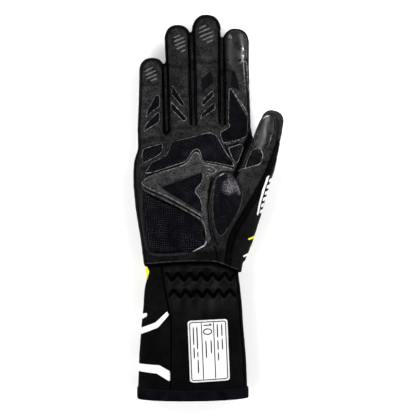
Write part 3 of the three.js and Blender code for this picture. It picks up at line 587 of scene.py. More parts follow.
def piece(name, points, faces, material, node=None, slot=None, thickness=None):
    """A mesh object in the frame, with its finish and its wall, which hides the CAD node that it stands for.
    """
    obj = bpy.data.objects.new(name, as_mesh(name, points[:, :3], faces))
    bpy.context.scene.collection.objects.link(obj)
    obj.data.materials.append(material)
    if points.shape[1] > 3:
        # the fold value, with its painted shade and light, goes to the finishes as an attribute
        folds = obj.data.attributes.new("fold", "FLOAT", "POINT")
        folds.data.foreach_set("value", np.clip(points[:, 3], -1, 1))
    obj.data.polygons.foreach_set("use_smooth", [True] * len(obj.data.polygons))
    if thickness:
        wall = obj.modifiers.new("wall", "SOLIDIFY")
        wall.thickness, wall.offset, wall.use_rim = thickness * MM, -1, True
    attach(obj, "root")
    if node:
        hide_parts(node)
    return obj

# %% [markdown]
# ## Finishes
# Everything on this glove is black, so the finishes must differ in grain and sheen more than in colour. Each
# is a Principled shader whose pattern is measured in metres of the object's own space, so the grain has its
# real size on every piece. Suede gets a mottled nap, knit gets ribs, the grip mesh gets a grid of dots.

# %% Material helpers
def finish(name, colour, roughness, **sockets):
    """A new material with its shader, and a maker of further nodes for it."""
    material = bpy.data.materials.new(name)
    material.use_nodes = True
    tree = material.node_tree
    shader = tree.nodes["Principled BSDF"]
    shader.inputs["Base Color"].default_value = (*colour, 1)
    shader.inputs["Roughness"].default_value = roughness
    for key, value in sockets.items():
        shader.inputs[key.replace("_", " ")].default_value = value

    def node(kind, inputs=None, **settings):
        made = tree.nodes.new(kind)
        for key, value in settings.items():
            setattr(made, key, value)
        for key, value in (inputs or {}).items():
            if isinstance(value, bpy.types.NodeSocket):
                tree.links.new(value, made.inputs[key])
            else:
                made.inputs[key].default_value = value
        return made

    return material, shader, node, tree


def place_mm(node):
    """The place on the object in millimetres."""
    here = node("ShaderNodeTexCoord").outputs["Object"]
    return node("ShaderNodeVectorMath", {0: here, 1: (1 / MM,) * 3}, operation="MULTIPLY").outputs[0]


def math_node(node, operation, a, b=0.0):
    return node("ShaderNodeMath", {0: a, 1: b}, operation=operation).outputs[0]


def wave(node, operation, value, pitch):
    """A sine or cosine of a length, with its pitch in millimetres."""
    return math_node(node, operation, math_node(node, "MULTIPLY", value, 2 * math.pi / pitch))


def noise(node, place, scale, detail=3.0, roughness=0.6):
    sockets = {"Vector": place, "Scale": scale, "Detail": detail, "Roughness": roughness}
    return node("ShaderNodeTexNoise", sockets).outputs["Fac"]

# %% Ranges, mixes and worn colours
def mapped(node, value, low, high, to_low=0.0, to_high=1.0):
    """A value stretched from one range to another, and held at its ends."""
    ends = {"Value": value, "From Min": low, "From Max": high, "To Min": to_low, "To Max": to_high}
    return node("ShaderNodeMapRange", ends).outputs["Result"]


def mix(node, factor, first, second):
    return node("ShaderNodeMix", {"Factor": factor, 6: first, 7: second}, data_type="RGBA").outputs[2]


def ramp(node, value, low, high, colour_low, colour_high):
    return mix(node, mapped(node, value, low, high), (*colour_low, 1), (*colour_high, 1))


# The fold value carries painted shade and painted light into the finishes.
def painted_shade_and_light_value(node):
    return node("ShaderNodeAttribute", attribute_name="fold").outputs["Fac"]


def cloth_ways(node, place, angle):
    """The place along the two ways of the cloth, which lie at an angle in plan."""
    turned = node("ShaderNodeVectorRotate", {"Vector": place, "Angle": angle}, rotation_type="Z_AXIS")
    return node("ShaderNodeSeparateXYZ", {0: turned.outputs[0]}).outputs[:2]


def cells(node, place, scale, feature):
    return node("ShaderNodeTexVoronoi", {"Vector": place, "Scale": scale},
            feature=feature).outputs["Distance"]


def weighted(node, *parts):
    """A sum of values, each with its share."""
    total = None
    for value, share in parts:
        scaled = math_node(node, "MULTIPLY", value, share)
        total = scaled if total is None else math_node(node, "ADD", total, scaled)
    return total


def with_painted_shade_and_light(node, colour, dark=0.1, light=1.7):
    """A colour with painted shade in creases and painted light on ridges, by the fold value of the mesh."""
    fold = painted_shade_and_light_value(node)
    down, up = mapped(node, fold, -0.8, 0.0, dark, 1.0), mapped(node, fold, 0.0, 0.8, 1.0, light)
    shade = math_node(node, "MULTIPLY", down, up)
    return node("ShaderNodeVectorMath", {0: colour, "Scale": shade}, operation="SCALE").outputs[0]


def bump(node, tree, shader, height, distance, strength=1.0, under=None):
    made = node("ShaderNodeBump", {"Height": height, "Distance": distance * MM, "Strength": strength})
    if under is not None:
        tree.links.new(under, made.inputs["Normal"])
    tree.links.new(made.outputs["Normal"], shader.inputs["Normal"])
    return made.outputs["Normal"]

# %% [markdown]
# ## Suede
# Suede is leather with its fibres raised, so light and dark clouds of nap lie over a fine pebble, and it has
# hardly any shine. Three noises of different size make the clouds, and two bumps make the grain.

# %% Suede
def suede(name, dark, light, grain=1.0, ridge_highlight=1.7):
    """Leather with a nap: clouds of lighter and darker fibres, and a fine pebble."""
    material, shader, node, tree = finish(name, dark, 0.75, Specular_IOR_Level=0.03)
    place = place_mm(node)
    nap = noise(node, place, 1.1 * grain, 3, 0.75)
    broad, middle = noise(node, place, 0.16, 4), noise(node, place, 0.5 * grain, 3, 0.7)
    clouds = weighted(node, (broad, 0.24), (middle, 0.4), (nap, 0.36))
    # painted shade in the creases and a painted highlight on the ridges
    tone = with_painted_shade_and_light(node, ramp(node, clouds, 0.42, 0.6, dark, light), light=ridge_highlight)
    tree.links.new(tone, shader.inputs["Base Color"])
    rough = bump(node, tree, shader, cells(node, place, 1.1 * grain, "SMOOTH_F1"), 0.12, 0.5)
    bump(node, tree, shader, nap, 0.18, 0.8, rough)
    return material

# %% [markdown]
# ## Knit and woven cloth
# Both are rows of loops or threads in two ways of the cloth. Two sine waves across one another give the rows
# at their real pitch, which an image would only give at one scale. A little fuzz breaks them up.

# %% Knit and woven cloth
def ribbed(name, colour, light, pitch, angle=0.0, roughness=0.85, depth=0.16, sheen=0.3, ridge_highlight=1.7,
        gloss=0.03):
    """Knitted or woven cloth: rows of small loops along one way of the cloth."""
    material, shader, node, tree = finish(name, colour, roughness, Specular_IOR_Level=gloss,
            Sheen_Weight=sheen * 0.03, Sheen_Roughness=0.4)
    place = place_mm(node)
    ways = cloth_ways(node, place, angle)
    across, along = wave(node, "SINE", ways[0], pitch), wave(node, "SINE", ways[1], pitch * 1.15)
    loops = math_node(node, "MULTIPLY", math_node(node, "ADD", across, 1.0),
            math_node(node, "ADD", along, 1.6))
    cloud = noise(node, place, 0.12, 3)
    fuzz = noise(node, place, 2.5, 2, 0.7)
    mottled = ramp(node, weighted(node, (cloud, 0.6), (fuzz, 0.4)), 0.35, 0.68, colour, light)
    # painted shade in the creases and a painted highlight on the ridges and puffs
    tree.links.new(with_painted_shade_and_light(node, mottled, light=ridge_highlight), shader.inputs["Base Color"])
    soft_loops = bump(node, tree, shader, loops, depth, 0.55)
    bump(node, tree, shader, fuzz, 0.12, 0.5, soft_loops)
    return material

# %% [markdown]
# ## Dotted grip mesh
# The pads carry a grid of tiny raised dots that catch the light where they aren't worn off. Two cosine waves
# meet in round dots, and a slow noise drifts the rows and wears some of them away.

# %% Dotted mesh
# The colour of the painted highlight on the padded oval.
PAINTED_HIGHLIGHT_COLOUR = (0.22, 0.2, 0.225, 1)


def dotted(name, colour, dot_colour, pitch, angle=0.0, painted_highlight=False):
    """Grip mesh: dark cloth with a grid of small raised dots that catch the light."""
    material, shader, node, tree = finish(name, colour, 0.5, Specular_IOR_Level=0.02)
    place = place_mm(node)
    wander = noise(node, place, 0.09, 2)
    drift = math_node(node, "MULTIPLY", wander, 5.0)
    ways = cloth_ways(node, place, angle)
    rows = [wave(node, "COSINE", math_node(node, "ADD", way, drift), pitch) for way in ways]
    dots = mapped(node, math_node(node, "ADD", *rows), 0.55, 1.7)
    patchy = mapped(node, noise(node, place, 0.14, 3), 0.4, 0.68, 0.12, 1.0)
    shown = math_node(node, "MULTIPLY", dots, patchy)
    mixed = with_painted_shade_and_light(node, mix(node, shown, (*colour, 1), (*dot_colour, 1)))
    # On the padded oval: a painted highlight of fine bright crinkles where the fold value is high.
    if painted_highlight:
        rubbed_and_painted_light = mapped(node, painted_shade_and_light_value(node), 0.4, 1.0)
        wrinkle = math_node(node, "SUBTRACT", noise(node, place, 0.42, 4, 0.6), 0.5)
        crest = mapped(node, math_node(node, "ABSOLUTE", wrinkle), 0.0, 0.05, 1.0, 0.12)
        mixed = mix(node, math_node(node, "MULTIPLY", rubbed_and_painted_light, crest), mixed, PAINTED_HIGHLIGHT_COLOUR)
    tree.links.new(mixed, shader.inputs["Base Color"])
    bump(node, tree, shader, dots, 0.35, 0.8)
    return material

# %% [markdown]
# ## Shiny leather
# The coated leather of the two tips is smooth enough to mirror a lamp. Its wrinkles are broad and shallow, so
# its streak of light is broken and not a clean band.

# %% Shiny leather
def shiny(name, colour, roughness, crinkle=0.18, scale=0.22):
    """Smooth coated leather: fine wrinkles that break up its highlight."""
    material, shader, node, tree = finish(name, colour, roughness, Specular_IOR_Level=0.26)
    place = place_mm(node)
    folds = noise(node, place, scale, 5, 0.55)
    pores = cells(node, place, 1.6, "DISTANCE_TO_EDGE")
    under = bump(node, tree, shader, folds, crinkle, 0.35)
    bump(node, tree, shader, pores, 0.05, 0.35, under)
    rubbed_and_painted_light = mapped(node, folds, 0.35, 0.7, roughness - 0.07, roughness + 0.14)
    tree.links.new(rubbed_and_painted_light, shader.inputs["Roughness"])
    return material

# %% [markdown]
# ## Prints, rubber lines and thread
# These have one colour and hardly any relief, yet an even tone would look like paint on a screen. A small
# contrast between two shades, and for a print a fine weave, is enough.

# %% Plain finishes
def plain(name, colour, roughness, weave=0.0, pitch=0.5, contrast=0.15, patches=0.9, faded=False, gloss=0.08):
    """A print, rubber line or thread, with a fine weave or grain of its own."""
    material, shader, node, tree = finish(name, colour, roughness, Specular_IOR_Level=gloss)
    place = place_mm(node)
    grain = noise(node, place, patches, 5, 0.75)
    if faded:
        faint = mapped(node, noise(node, place, 0.07, 2), 0.38, 0.6, -0.06, 0.05)
        grain = math_node(node, "ADD", grain, faint)
    dark, light = (tuple(min(c * (1 + way * contrast), 1) for c in colour) for way in (-1, 1))
    tree.links.new(ramp(node, grain, 0.4, 0.62, dark, light), shader.inputs["Base Color"])
    height = grain
    if weave:
        ways = cloth_ways(node, place, 0.0)
        height = math_node(node, "ADD", *(wave(node, "SINE", way, pitch) for way in ways))
    bump(node, tree, shader, height, weave or 0.06, 0.5)
    return material

# %% All the finishes of the glove
PALM_SUEDE = suede("palm_suede", (0.0015, 0.0015, 0.0016), (0.0165, 0.0165, 0.0168), ridge_highlight=2.0)
BAND_SUEDE = suede("band_suede", (0.003, 0.003, 0.0031), (0.041, 0.041, 0.0415), 1.6)
THUMB_SUEDE = suede("thumb_suede", (0.0015, 0.0015, 0.0016), (0.0145, 0.0145, 0.0148))
BACK_KNIT = ribbed("back_knit", (0.001, 0.001, 0.0011), (0.0048, 0.0048, 0.0051), 1.1)
THUMB_KNIT = ribbed("thumb_knit", (0.004, 0.004, 0.0041), (0.017, 0.017, 0.0173), 1.0, 0.35)
STRETCH = ribbed("stretch_knit", (0.0003, 0.0003, 0.0005), (0.0022, 0.0022, 0.0027), 1.6, 0.4, 0.9, 0.3,
        gloss=0.01)
# The cuff's puffs get a strong painted highlight.
CUFF_CLOTH = ribbed("cuff_cloth", (0.001, 0.001, 0.001), (0.0026, 0.0026, 0.0026), 0.8, 0.0, 0.8, 0.06,
        0.12, ridge_highlight=5.5, gloss=0.01)
TWILL = ribbed("hem_twill", (0.0006, 0.0005, 0.0012), (0.0048, 0.004, 0.007), 0.9, 0.78, 0.75, 0.14, 0.3,
        gloss=0.01)
GRIP_MESH = dotted("grip_mesh", (0.0006, 0.0005, 0.0013), (0.04, 0.036, 0.045), 1.75)
THENAR_MESH = dotted("thenar_mesh", (0.0006, 0.0005, 0.0013), (0.02, 0.016, 0.023), 1.5, 0.2, painted_highlight=True)
SLANT_MESH = dotted("slant_mesh", (0.0005, 0.0004, 0.0011), (0.03, 0.028, 0.035), 1.6, 0.7)
FINGER_MESH = dotted("finger_mesh", (0.0005, 0.0005, 0.001), (0.009, 0.009, 0.013), 1.5, 0.5)
SHINY = shiny("shiny_leather", (0.002, 0.002, 0.0021), 0.31)
SILICONE = plain("silicone_line", (0.105, 0.105, 0.107), 0.5, contrast=0.93, patches=0.5, faded=True)
WINDOW_LINE = plain("window_line", (0.07, 0.07, 0.071), 0.5, contrast=0.93, patches=0.5, faded=True)
PALE_LINE = plain("pale_line", (0.3, 0.3, 0.3), 0.4, contrast=0.6, patches=0.6)
BORDER_TAPE = plain("border_tape", (0.01, 0.0088, 0.0125), 0.8, 0.12, 0.9, contrast=0.5)
GRIP_BAR = plain("grip_bar", (0.085, 0.085, 0.086), 0.5, contrast=0.5)
GREY_LINE = plain("grey_line", (0.02, 0.0195, 0.022), 0.6, contrast=0.8, patches=0.4, faded=True)
PIPING = plain("piping", (0.016, 0.016, 0.0165), 0.7, 0.08, 0.9, contrast=0.7, patches=0.3, faded=True)
THREAD = plain("thread", (0.007, 0.007, 0.0072), 0.7)
CUFF_THREAD = plain("cuff_thread", (0.0045, 0.0045, 0.0046), 0.8)
FOLD_KNIT = ribbed("fold_knit", (0.001, 0.001, 0.001), (0.012, 0.012, 0.0118), 1.3, 0.0, 0.85, 0.25)
# Near-black strips that paint the shade in grooves, creases and seams.
GROOVE_SHADE = plain("painted_groove_shade", (0.0003, 0.0003, 0.0003), 0.9, gloss=0.0)
LABEL_THREAD = plain("label_thread", (0.42, 0.42, 0.42), 0.6)
WHITE_PRINT = plain("white_print", (0.62, 0.62, 0.62), 0.5, 0.05, 0.8, 0.03)
LIME_PRINT = plain("lime_print", (0.58, 0.6, 0.008), 0.5, 0.05, 0.8)
LABEL_WHITE = plain("label_white", (0.6, 0.6, 0.6), 0.55, 0.03, 0.45, 0.03)
LABEL_INK = plain("label_ink", (0.003, 0.003, 0.003), 0.7, gloss=0.02)
print("finishes:", len(bpy.data.materials))

# %% [markdown]
# ## The hand's panels
# Six kinds of panel are sewn into the hand: the suede of the palm with the finger fronts, the ball of the
# thumb, a dark stretch strip beside it, the strips between the fingers, the back of the thumb and the knitted
# back. Where two panels meet, both edges roll in by half a millimetre, which draws the seam as a fine groove.

# %% Seams of the hand
SEAM_INSET = 2.2
THUMB_RISE = 11.3


def side_height(y):
    """The height of the seam between front and back, along the hand."""
    knuckle = np.clip(((y - WRIST_Y) / PALM_LENGTH - 0.6) / 0.4, 0, 1)
    return PALM_DEPTH * 0.5 + (19.5 * 0.52 - PALM_DEPTH * 0.5) * knuckle + lift_at(y)


def thumb_side_height(y):
    return THUMB_START[2] + THUMB_RISE * np.clip((y - THUMB_START[1]) / THUMB_LENGTH, 0, 1)


def finger_front(points, name, inset):
    """Distance in plan inside one finger's outline, with a round tip."""
    length, _, tip, *_ = FINGERS[name]
    top = ROOT_Y + length - tip / 2
    x, y = points[:, 0], points[:, 1]
    half = finger_half(name, np.minimum(y, top))
    off = x - finger_middle(name, np.minimum(y, top))
    beyond = np.maximum(y - top, 0)
    return half - inset - np.hypot(off, beyond * half / (tip / 2))

# %% Seam lines, as drawn
THUMB_SEAM = drawn((253, 131), (251.7, 139), (245.8, 147.5), (240.5, 163.5), (235.8, 173), (228.5, 171.4),
    (220.6, 172.7), (213.2, 180), (208.7, 192), (207.6, 206), (209.6, 222), (214.1, 243), (218.2, 262),
    (219.7, 295))
THUMB_EDGE = drawn((252.8, 143.5), (256, 134.5), (259, 126.5), (262.5, 119.6), (267, 114.9),
    (272.5, 114.3), (276.5, 118.6), (277.7, 126), (276.6, 136), (275, 146))
THUMB_SIDE_LINE = drawn((275, 146), (270.6, 157), (266.1, 169), (260.2, 181.5), (252.1, 195.5),
    (242.2, 212.5), (232.1, 228.5), (226.8, 243), (224.5, 262), (224.7, 295))
WRIST_LINE = drawn((80, 266.6), (147, 266.6), (165, 264.8), (190, 263.2), (212, 263.2), (220, 265),
        (238, 272.5), (320, 273))
CROTCHES = ((166, 134), (193.8, 125.6), (222.8, 125.6))
CROTCH = ((-10, 8), (-4.6, 5.5), (-3, 1.6), (0, 0), (3, 1.6), (4.6, 5.5), (10, 8))

# %% A field for each panel
SOFT_SEAM = soft(THUMB_SEAM, step=1.5, radius=3)
BELOW_WRIST = -110


def palm_block(inset):
    """The plan outline of the palm's leather, without the fingers."""
    rows = PALM_TABLE[1:8]
    ends = rows[:, 0] - rows[:, 5] * END_SLANT
    left = np.stack([PALM_X - rows[:, 1] * PALM_WIDTH + inset, WRIST_Y + ends * PALM_LENGTH], axis=1)
    top = [spot(141.5, 141)]
    for x, y in CROTCHES:
        top += [spot(x + dx, y - up) for dx, up in CROTCH]
    top += [spot(236, 118), spot(246.5, 124)]
    return np.vstack([[left[0, 0], BELOW_WRIST], left, top, SOFT_SEAM, [SOFT_SEAM[-1, 0], BELOW_WRIST]])


PALM_BLOCK = palm_block(SEAM_INSET)


def palm_field(points):
    plan = depth_inside(points, PALM_BLOCK)
    for name in FINGERS:
        strip = finger_front(points, name, SEAM_INSET)
        strip = np.where(points[:, 1] > ROOT_Y - 16, strip, -6)
        plan = np.maximum(plan, strip)
    return np.minimum(plan, points[:, 2] - side_height(points[:, 1]))


THUMB_SIDE = soft(THUMB_SIDE_LINE, step=1.5, radius=3)
THUMB_OUTLINE = np.vstack([SOFT_SEAM[6:][::-1], soft(THUMB_EDGE, step=1.5, radius=2), THUMB_SIDE])


def thumb_field(points):
    return np.minimum(depth_inside(points, THUMB_OUTLINE), points[:, 2] - thumb_side_height(points[:, 1]))


STRIP_WIDTH = 4.9


def strip_field(points):
    gap, side = path_distance(points[:, :2], THUMB_SIDE)
    plan = np.where(side > 0, np.minimum(gap, STRIP_WIDTH - gap), -gap)
    return np.minimum(plan, points[:, 2] - thumb_side_height(points[:, 1]))


def between_field(points, near, far):
    """The region of the strip between two fingers: the near sides of both, up to their round tips."""
    y = points[:, 1]
    left = finger_middle(near, y)
    right = finger_middle(far, y)
    tops = [ROOT_Y + FINGERS[k][0] - FINGERS[k][2] * 0.55 for k in (near, far)]
    share = np.clip((points[:, 0] - left) / (right - left), 0, 1)
    top = np.where(share < 0.5, tops[0], tops[1])
    across = np.minimum(points[:, 0] - left, right - points[:, 0])
    plan = np.minimum(across, np.minimum(y - (ROOT_Y - 13), top - y))
    return np.minimum(plan, points[:, 2] - side_height(y) + 5.6)


THUMB_BACK_LINE = drawn((252.9, 45), (252.9, 142.5), (255.7, 163.4), (262.6, 181.5), (354, 212))

# %% [markdown]
# ## One cut after another
# The hand is cut as a cutter would cut it, the large panels first. Each cut hands what is left over to the
# next, so no triangle is used twice and every seam has two matching edges.

# %% Cut the hand
gap, side = path_distance(hand[:, :2], WRIST_LINE)
(hand_skin, hand_tris), _ = split(hand, hand_faces, gap * side)
(palm_skin, palm_tris), (rest, rest_tris) = split(hand_skin, hand_tris, palm_field(hand_skin))
(ball_skin, ball_tris), (rest, rest_tris) = split(rest, rest_tris, thumb_field(rest))
(strip_skin, strip_tris), (rest, rest_tris) = split(rest, rest_tris, strip_field(rest))
between = {}
names = list(FINGERS)
for near, far in zip(names[:-1], names[1:]):
    between[near, far], (rest, rest_tris) = split(rest, rest_tris, between_field(rest, near, far))
gap, side = path_distance(rest[:, :2], THUMB_BACK_LINE)
(thumb_back_skin, thumb_back_tris), (back_skin, back_tris) = split(rest, rest_tris, gap * side)

# %% The panels as pieces
HAND_PANELS = {
    "palm_leather": (palm_skin, palm_tris, PALM_SUEDE, "palm_panel", "suede"),
    "thumb_ball_leather": (ball_skin, ball_tris, THUMB_SUEDE, "thumb_front", "suede"),
    "thumb_stretch_strip": (strip_skin, strip_tris, STRETCH, "thumb_gusset", "stretch"),
    "thumb_back_knit": (thumb_back_skin, thumb_back_tris, THUMB_KNIT, "thumb_back", "knit"),
    "hand_back_knit": (back_skin, back_tris, BACK_KNIT, "back_panel", "knit"),
}
for (near, far), (skin, tris) in between.items():
    HAND_PANELS[f"strip_{near}_{far}"] = (skin, tris, STRETCH, f"gusset_{near}_{far}", "stretch")
TOP_SKINS = []  # every surface that a line may be laid on
for name, (skin, tris, material, node_name, slot) in HAND_PANELS.items():
    points = swollen(skin, tris, -0.55, 0, 1.7)
    TOP_SKINS.append((points[:, :3], tris))
    piece(name, points, tris, material, node_name, slot, thickness=1.3)
    print(name, len(tris), "triangles")

# %% [markdown]
# ## Grip pads
# The dark pads are a thin grippy mesh, bonded on the palm where it holds the wheel. Their outlines are drawn
# in plan, cut out of the finished skin and lifted by less than a millimetre with a rounded edge, so each pad
# follows every hollow under it. The padded oval on the ball of the thumb is crowned, as it holds foam.

# %% Helpers that lay a patch on a skin
def refined(skin, faces):
    """Every triangle cut in four, for a rounder edge."""
    edges = np.sort(np.vstack([faces[:, [0, 1]], faces[:, [1, 2]], faces[:, [2, 0]]]), axis=1)
    found, where = np.unique(edges, axis=0, return_inverse=True)
    where = where.reshape(3, -1).T + len(skin)
    middle = (skin[found[:, 0]] + skin[found[:, 1]]) / 2
    a, b, c = faces.T
    ab, bc, ca = where.T
    smaller = np.vstack([np.stack(t, axis=1) for t in ((a, ab, ca), (ab, b, bc), (ca, bc, c), (ab, bc, ca))])
    return np.vstack([skin, middle]), smaller


def patch(skin, faces, outline, facing=1, radius=1.2, side=None, finer=True):
    """The part of a skin inside an outline, on the palm side (1) or the back (-1), down to a height."""
    outline = soft(outline, closed=True, radius=radius) if radius else outline
    ok = near_box(skin, outline, 3) & (facing * skin[:, 5] > -0.2)
    kept = faces[ok[faces].all(1)]
    used, packed = np.unique(kept, return_inverse=True)
    field = depth_inside(skin[used], outline)
    if side is not None:
        field = np.minimum(field, facing * (skin[used][:, 2] - side))
    cut = split(skin[used], packed.reshape(-1, 3), field)[0]
    return refined(*cut) if finer else cut


def laid(name, skin, faces, material, node=None, slot=None, low=0.1, high=0.8, width=1.3, thickness=0.7):
    points = swollen(skin, faces, low, high, width)
    TOP_SKINS.append((points[:, :3], faces))
    return piece(name, points, faces, material, node, slot, thickness=thickness)

# %% The pads of the palm
BAND = [(140.5, 184), (143, 180), (150, 175.5), (168, 169), (184.7, 163.2), (188.5, 159.8), (192.6, 152.3),
    (196.3, 149.8), (199.3, 151.6), (202.7, 161.8), (216.7, 164), (233, 168.2), (231, 171.2), (224, 170.3),
    (217, 172.5), (212.2, 179.5), (208.5, 192), (207, 206), (208, 222), (211, 238), (208.5, 243),
    (206.6, 240), (203.9, 228), (199.7, 219.5), (176.2, 205.5), (143.2, 189.8)]
skin, tris = patch(hand_skin, hand_tris, drawn(*BAND), radius=0.9)
laid("palm_band", skin, tris, BAND_SUEDE, slot="suede", low=0.05, high=0.4, width=0.9, thickness=0.4)
for name, outline in PADS.items():
    skin, tris = patch(hand_skin, hand_tris, drawn(*outline), radius=0.9)
    low, high = (0.4, 1.0) if name == "centre_pad" else (0.1, 0.8)
    material = {"index_pad": FINGER_MESH, "heel_pad": GRIP_MESH}.get(name, SLANT_MESH)
    laid(name + "_cloth", skin, tris, material, name, "mesh", low=low, high=high)

# %% The padded oval
skin, tris = patch(hand_skin, hand_tris, drawn(*THENAR))
crinkled = skin.copy()
# A painted highlight on the top of the padded oval, carried in its fold value; the crinkles under it are real
# relief.
painted_highlight = np.exp(-(np.hypot(*((skin[:, :2] - spot(230.5, 188)) / (8.4, 8.6)).T) ** 2))
creping = ripple(skin[:, :3], 2.6, 12)
crinkled[:, :3] += skin[:, 3:6] * (0.3 * ripple(skin[:, :3], 7, 11) + 0.25 * painted_highlight * creping)[:, None]
crinkled[:, 6] = np.clip(crinkled[:, 6], -1, 0) + painted_highlight
thenar = laid("thenar_cushion", crinkled, tris, THENAR_MESH, "thenar_pad", "mesh", low=0.2, high=2.3,
        width=7, thickness=1.2)
print("points in the padded oval:", len(skin))

# %% [markdown]
# ## Windows on the fingers
# Small windows of the same mesh are let into the fronts of the fingers. They are almost flush, so each is a
# patch that rises by a sixth of a millimetre.

# %% Windows
WINDOWS = [
    [(155.8, 94.7), (159.4, 95.5), (159.6, 106), (151.7, 111.3), (145.8, 117.5), (147, 112)],
    [(157.5, 112.2), (159.4, 113), (159.2, 121.5), (143.3, 131.5), (145.5, 124.7)],
    [(172.2, 84.5), (184.6, 104.5), (182, 106.3), (171.6, 94)],
    [(171, 101.5), (187.5, 119.2), (183.5, 121), (171.3, 109)],
    [(200.9, 80.5), (210.3, 71), (213.3, 77), (213.3, 82.5), (201.8, 93)],
    [(201.8, 101.5), (212.3, 90.5), (214, 95), (202.3, 106.5)],
    [(200.3, 119), (201.8, 114), (214.8, 101.7), (215.1, 108.6)],
    [(231.7, 69.7), (235.9, 74), (240.2, 91), (230.6, 86.3)],
]
windows = []
for outline in WINDOWS:
    skin, tris = patch(hand_skin, hand_tris, drawn(*outline), radius=0.4)
    windows.append((swollen(skin, tris, 0.02, 0.15, 0.6), tris))
piece("finger_windows", *joined(windows), FINGER_MESH, slot="mesh", thickness=0.2)
print("finger windows:", len(windows))

# %% [markdown]
# ## Shiny tips
# The tips of the index finger and the thumb wear a smooth coated leather. They are laid on like the pads, but
# thinner. The thumb's patch gets a low crown, so that it mirrors one lamp as a short streak.

# %% The two shiny patches
TIP_CAP = [(222, 34), (226, 24), (234, 18), (243, 20), (252, 32), (252, 55), (246, 58.5), (243, 62),
        (237, 66), (231.7, 65.5), (225.5, 61), (222, 50)]
THUMB_PATCH = [(259.2, 120.5), (263.2, 116.2), (269, 115.6), (273, 120), (273, 132), (269.5, 143),
        (265.5, 149.5), (257, 149.8), (253.5, 144), (255.4, 130)]


def finger_shaped(outline, name, inset):
    """A drawn outline kept inside one finger's own edge."""
    points = soft(drawn(*outline), closed=True, step=0.8)
    length, _, tip, *_ = FINGERS[name]
    top = ROOT_Y + length - tip / 2
    flat_y = np.minimum(points[:, 1], top)
    middle = np.stack([finger_middle(name, flat_y), flat_y], axis=1)
    reach = np.linalg.norm(points - middle, axis=1)
    most = finger_half(name, flat_y) - inset
    return middle + (points - middle) * np.minimum(1, most / np.maximum(reach, 1e-6))[:, None]


skin, tris = patch(hand_skin, hand_tris, finger_shaped(TIP_CAP, "index", 2.0), radius=0)
laid("index_cap_leather", skin, tris, SHINY, "index_tip_cap", "gloss", low=0.1, high=0.26, width=3.0,
        thickness=0.4)
skin, tris = patch(hand_skin, hand_tris, drawn(*THUMB_PATCH))
skin[:, 2] += 0.5 * np.exp(-(np.hypot(*((skin[:, :2] - spot(265.5, 136)) / (4, 8)).T) ** 2))
skin[:, 3:6] = vertex_normals(skin[:, :3], tris)
laid("thumb_patch_leather", skin, tris, SHINY, "thumb_tip_patch", "gloss", low=0.1, high=0.26, width=3.0,
        thickness=0.4)

# %% [markdown]
# ## The cuff
# The cuff is a long tube of dense stretch cloth that narrows at the wrist and widens to its hem. Two rows of
# elastic are sewn across its front in zigzags, and the cloth puffs up between them. Such a regular form is
# best made from a formula: a grid of points round and along the tube, then relief added along its normals.

# %% The cuff's skin
CUFF_LENGTH, CUFF_TUCK = 106.0, 7.6
HEM_WIDTH, HEM_DEPTH, WRIST_FIT, FLOOR_LIFT, WRIST_DROP = 87.6, 31.0, 2.1, 1.3, 6.8
CUFF_END = CUFF_LENGTH - 1.3
# along the cuff from the wrist seam: how far each side has widened from the wrist to the hem
CUFF_TABLE = np.array(
    [
        (0.0, 0.2, 0.0), (0.034, 0.16, -0.02), (0.064, 0.04, 0.02), (0.095, 0.06, 0.08),
                (0.13, 0.28, 0.14), (0.165, 0.36, 0.2),
        (0.195, 0.4, 0.24), (0.235, 0.46, 0.3), (0.3, 0.5, 0.38), (0.42, 0.72, 0.48), (0.66, 1.1, 0.76),
                (1.0, 1.24, 1.0),
    ]
)


def cuff_half(side, down):
    wrist = (0.426 if side == "left" else 0.41) * PALM_WIDTH - WRIST_FIT
    column = 1 if side == "left" else 2
    flare = flowing(np.maximum(down, 0) / CUFF_LENGTH, CUFF_TABLE[:, 0], CUFF_TABLE[:, column], 0.02)
    return wrist + (HEM_WIDTH / 2 - wrist) * flare


def cuff_ring(down, out=0.0, count=244):
    share = np.clip((down - WRIST_DROP) / (CUFF_LENGTH - WRIST_DROP), 0, 1)
    bottom = WRIST_FIT + (FLOOR_LIFT - WRIST_FIT) * min(share * 8, 1)
    top = 0.89 * PALM_DEPTH - WRIST_FIT
    top = top + (FLOOR_LIFT + HEM_DEPTH - top) * share
    centre = np.array([PALM_X, WRIST_Y - down, (top + bottom) / 2])
    half = (top - bottom) / 2 + out
    left, right = cuff_half("left", down) + out, cuff_half("right", down) + out
    points, across, rise = ring(centre, X_AXIS, Z_AXIS, left, right, half, half + FLAT_CUT, PALM_SQUARE,
            count)
    points[:, 1] -= share * (1.1 * (1 - across**2) - 0.5 * across) * (rise > 0)
    points[:, 2] = np.maximum(points[:, 2], bottom - out)
    return points

# %% The gathers at the wrist
ROWS_OF_ELASTIC = [
    drawn(*((x, 280.2 if k % 2 else 272.6) for k, x in enumerate(
        (156, 161, 167, 172, 178, 184, 189.6, 195.4, 201.2, 207, 212.6, 218.5, 225, 230, 236)))),
    drawn(*((x, 296.6 if k % 2 else 289.3) for k, x in enumerate(
        (163, 169, 173.6, 180.7, 185.3, 191.4, 196, 202.7, 207, 213.4, 218.5, 224, 229.7, 236)))),
]
# along the cuff and across it, as shares of its length and of the palm's width
SEAM_SHARES = [(-0.1, -0.29), (0.1, -0.262), (0.275, -0.225), (0.375, -0.194), (0.8, -0.194), (1.1, -0.208)]
CUFF_SEAM = np.array([(PALM_X + x * PALM_WIDTH, WRIST_Y - y * CUFF_LENGTH) for y, x in SEAM_SHARES])


